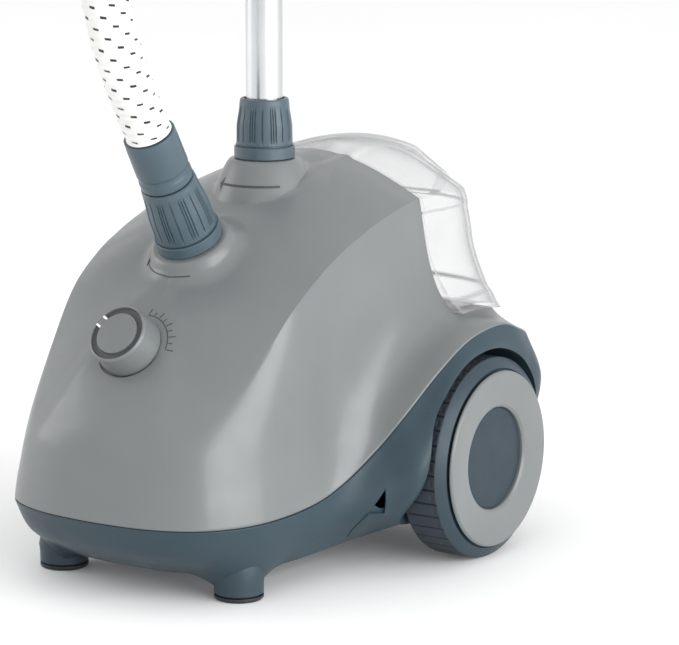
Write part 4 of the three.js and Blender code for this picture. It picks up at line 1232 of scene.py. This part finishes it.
def make_hanger():
    spine = [(24.5, 1546), (40, 1543), (52, 1522), (64, 1500), (110, 1479), (152, 1459),
             (182, 1443), (197, 1424), (200, 1392)]
    for name, side in LEFT_RIGHT:
        path = [(side * x, z) for x, z in spine]
        arm = section_sweep(f"hanger_arm_moulded_{name}", path, 19, 12, paint["upper"],
                            (side * 140, 7, 7), 10, 3.4)
        stand_in(arm, "pole_top", "slate", f"hanger_arm_{name}")
    low, high = span("trouser_bar")
    middle = (0, (low[1] + high[1]) / 2, (low[2] + high[2]) / 2)
    bar = rod("trouser_rail", 1.8, low[0], high[0], paint["steel"], middle, (1, 0, 0), 0.4, 24)
    stand_in(bar, "pole_top", "steel", "trouser_bar")
    low, high = span("hanger_hub")
    hub = block("hub_block", (-22, low[1] + 3, low[2]), (22, high[1], high[2]), paint["upper"], 4)
    neck = block("hub_neck", (-8, low[1], 1540), (8, low[1] + 20, 1556), paint["upper"], 1.5)
    carve(hub, ("UNION", neck))
    hub.name = "hanger_hub_moulded"
    stand_in(hub, "pole_top", "slate", "hanger_hub")
    low, high = span("pole_sleeve")
    pole = (0, POLE_SEAT[1], 0)
    _, tube_high = span("pole_tube_4")
    bore = 8.25
    sleeve = lathe("pole_head_sleeve", [
        (bore, low[2]), (10.2, low[2]), (11, low[2] + 1.2), (11, low[2] + 16), (10.2, low[2] + 17.5),
        (10.2, low[2] + 20), (11, low[2] + 21.5), (11, high[2] - 7), (8.6, high[2]), (0, high[2]),
        (0, tube_high[2] + GAP),
        (bore, tube_high[2] + GAP)], paint["dark"], pole, round_off=0.4)
    carve(sleeve, ("DIFFERENCE", block("slot", (-20, -10, 1550), (20, 9.6, 1566))))
    stand_in(sleeve, "pole_top", "dark", "pole_sleeve")
    cradle = block("cradle_arm", (-9, -11, 1552), (9, 9.2, 1558), paint["dark"])
    carve(cradle, ("UNION", block("cradle_lip", (-9, -11, 1552), (9, -7, 1598))))
    only_paint(cradle, "dark")
    bevelled(cradle, 1.2)
    cradle.name = "head_cradle_moulded"
    stand_in(cradle, "pole_top", "dark", "head_cradle")
    route = [(x, POLE_SEAT[1], z) for x, z in (
        (11.9, 1588), (30, 1585), (48, 1587), (58, 1600), (62, 1616), (72, 1622))]
    places, directions = smooth_path(route, 14)
    share = np.linspace(0, 1, len(places))
    hook_radius = 3.6 * np.where(share > 0.97, np.sqrt(np.clip((1 - share) / 0.03, 0.05, 1)), 1)
    hook = tube("garment_hook_bent", places, directions, hook_radius, paint["dark"], 24, (0, 1, 0))
    stand_in(hook, "pole_top", "dark", "garment_hook")


make_hanger()


# ------------------------------------------------------------------ steam head
HEAD = {"y": -45, "z": 1618, "size": (64, 34, 36)}
STEAM_HOLES = {"count": 14, "across": 38, "up": 17, "radius": 1.5}


def grip_rings(low, high, pitch, depth):
    def ripple(radius, height, angle):
        within = (height > low) & (height < high) & (radius > 20)
        wave = 0.5 - 0.5 * np.cos((height - low) * 2 * np.pi / pitch)
        return radius - depth * within * wave
    return ripple


def make_head():
    bulb_points = []
    for ring in range(49):
        polar = np.pi * ring / 48
        for step in range(64):
            angle = 2 * np.pi * step / 64
            direction = np.array([
                math.sin(polar) * math.cos(angle), math.sin(polar) * math.sin(angle), math.cos(polar)])
            shape = np.sign(direction) * np.abs(direction) ** 0.9
            bulb_points.append(shape * HEAD["size"] + [0, HEAD["y"] - 8, HEAD["z"]])
    bulb = mesh_object("head_bulb", bulb_points, grid(49, 64, wrap=True))
    neck = lathe("head_neck", [(0, 1560.5), (19, 1560.5), (21, 1580), (27, 1604), (0, 1612)],
                 None, (0, HEAD["y"], 0))
    carve(bulb, ("UNION", neck))
    remesh = bulb.modifiers.new("blend", "REMESH")
    remesh.mode = "VOXEL"
    remesh.voxel_size = 1.8 * MM
    relax = bulb.modifiers.new("relax", "SMOOTH")
    relax.factor = 0.5
    relax.iterations = 14
    settle(bulb, 60)
    carve(bulb,
          ("DIFFERENCE", block("face", (-90, HEAD["y"] - 60, 1540), (90, HEAD["y"] - 34, 1690))),
          ("DIFFERENCE", block("foot", (-90, HEAD["y"] - 60, 1530), (90, HEAD["y"] + 60, 1560.5))),
          ("DIFFERENCE", rod("way", 9, 1540, 1614, None, (0, HEAD["y"], 0))), sharp=45)
    only_paint(bulb, "upper")
    bulb.name = "steam_head_shell"
    stand_in(bulb, "head", "slate", "head_shell")
    _, high = span("steam_plate")
    outline = [(0, 0), (50, 0), (52, 2), (50, 5), (0, 5)]
    plate = lathe("steam_plate_face", outline, paint["steel"], round_off=1)
    co = np.array([v.co for v in plate.data.vertices]) / MM * [1, 0.5, 1]
    plate.data.vertices.foreach_set("co", (placed(co, (0, high[1], HEAD["z"]), (0, -1, 0)) * MM).ravel())
    holes = []
    for i in range(STEAM_HOLES["count"]):
        a = 2 * np.pi * i / STEAM_HOLES["count"]
        seat = (STEAM_HOLES["across"] * math.cos(a), high[1], HEAD["z"] + STEAM_HOLES["up"] * math.sin(a))
        holes.append(rod("hole", STEAM_HOLES["radius"], 3, 9, None, seat, (0, -1, 0), sides=16))
    carve(plate, ("DIFFERENCE", joined("holes", *holes)))
    only_paint(plate, "steel")
    stand_in(plate, "head", "steel", "steam_plate")
    rows = [(23, h) for h in np.linspace(1438, 1542, 140)]
    grip = lathe("handle_grip_ringed", [
        (17.6, 1417), (22, 1417), (23, 1418.2), *rows, (22.4, 1548), (21, 1560), (9, 1560), (9, 1500),
        (17.6, 1500)],
        paint["upper"], (0, HEAD["y"], 0), ripple=grip_rings(1438, 1542, 5.6, 0.9))
    stand_in(grip, "head", "dark", "handle_grip")
    loop = block("loop_top", (-6, HEAD["y"] + 27.5, 1601), (6, HEAD["y"] + 42, 1606))
    carve(loop, ("UNION", block("loop_side", (-6, HEAD["y"] + 38.6, 1570), (6, HEAD["y"] + 42, 1606))))
    only_paint(loop, "upper")
    bevelled(loop, 0.9)
    loop.name = "hang_loop_moulded"
    stand_in(loop, "head", "slate", "hang_loop")


make_head()


# ------------------------------------------------------------------ hose cuff
def make_cuff():
    cuff = lathe("hose_cuff_moulded", [
        (11, -22), (12.4, -22), (12.6, -21), (12.6, 48.5), (17.4, 48.5), (17.8, 49.4), (17.8, 54),
        (17.1, 55), (17.1, 58), (17.7, 59), (17.5, 80), (17.2, 86), (11, 86)],
        paint["collar"], HOSE_SEAT, HOSE_AXIS, round_off=0.4)
    stand_in(cuff, "base", "slate", "hose_cuff")


make_cuff()


# ------------------------------------------------------------------ nodes that stay as CAD
KEPT = {
    **{f"chassis_screw_{i}": "steel" for i in (1, 2, 3, 4)},
    "drain_plug": "dark", "cord_gland": "dark", "pole_socket": "slate", "hose_socket": "slate",
    "boiler": "aluminium",
    "heating_element": "steel", "thermostat": "brass", "thermal_fuse": "nylon", "steam_tube": "nylon",
    "inlet_valve": "dark", "water_tube": "nylon", "terminal_block": "nylon", "tank_cap": "dark",
    "tank_valve": "steel",
    "dial_shaft": "brass", "control_switch": "nylon", "wheel_axle": "steel"}


def finish_kept_nodes():
    for name, material in KEPT.items():
        node = frame["nodes"][name]
        if not node.material_slots:
            node.data.materials.append(None)
        for slot in node.material_slots:
            slot.material = paint[material]


finish_kept_nodes()


# ------------------------------------------------------------------ floor, light and backdrop
def area_light(name, place, target, size, power):
    data = bpy.data.lights.new(name, "AREA")
    data.shape = "RECTANGLE"
    data.size, data.size_y = size
    data.energy = power
    light = bpy.data.objects.new(name, data)
    light.location = place
    light.rotation_euler = (Vector(target) - Vector(place)).to_track_quat("-Z", "Y").to_euler()
    bpy.context.scene.collection.objects.link(light)


def make_studio():
    n = Nodes("floor_paint")
    n.set("Base Color", n.mix(n.noise(3), (0.92, 0.92, 0.92, 1), (0.95, 0.95, 0.95, 1)))
    n.set("Roughness", 0.7)
    n.set("Emission Color", (1.0, 1.0, 1.0, 1))
    n.set("Emission Strength", 0.04)
    half = 40
    bpy.ops.mesh.primitive_plane_add(size=2 * half, location=(0, 0, 0))
    floor = bpy.context.object
    floor.name = "floor"
    floor.data.materials.append(n.material)
    world = bpy.data.worlds.new("studio")
    world.use_nodes = True
    world.node_tree.nodes["Background"].inputs["Color"].default_value = (1, 1, 1, 1)
    world.node_tree.nodes["Background"].inputs["Strength"].default_value = 0.97
    bpy.context.scene.world = world
    area_light("side_light", (2.8, -0.3, 0.8), (0, 0, 0.12), (3.2, 1.8), 84)
    area_light("left_light", (-2.4, -0.9, 0.9), (0, 0, 0.15), (1.4, 1.4), 14)
    bpy.context.scene.view_settings.view_transform = "Standard"


make_studio()
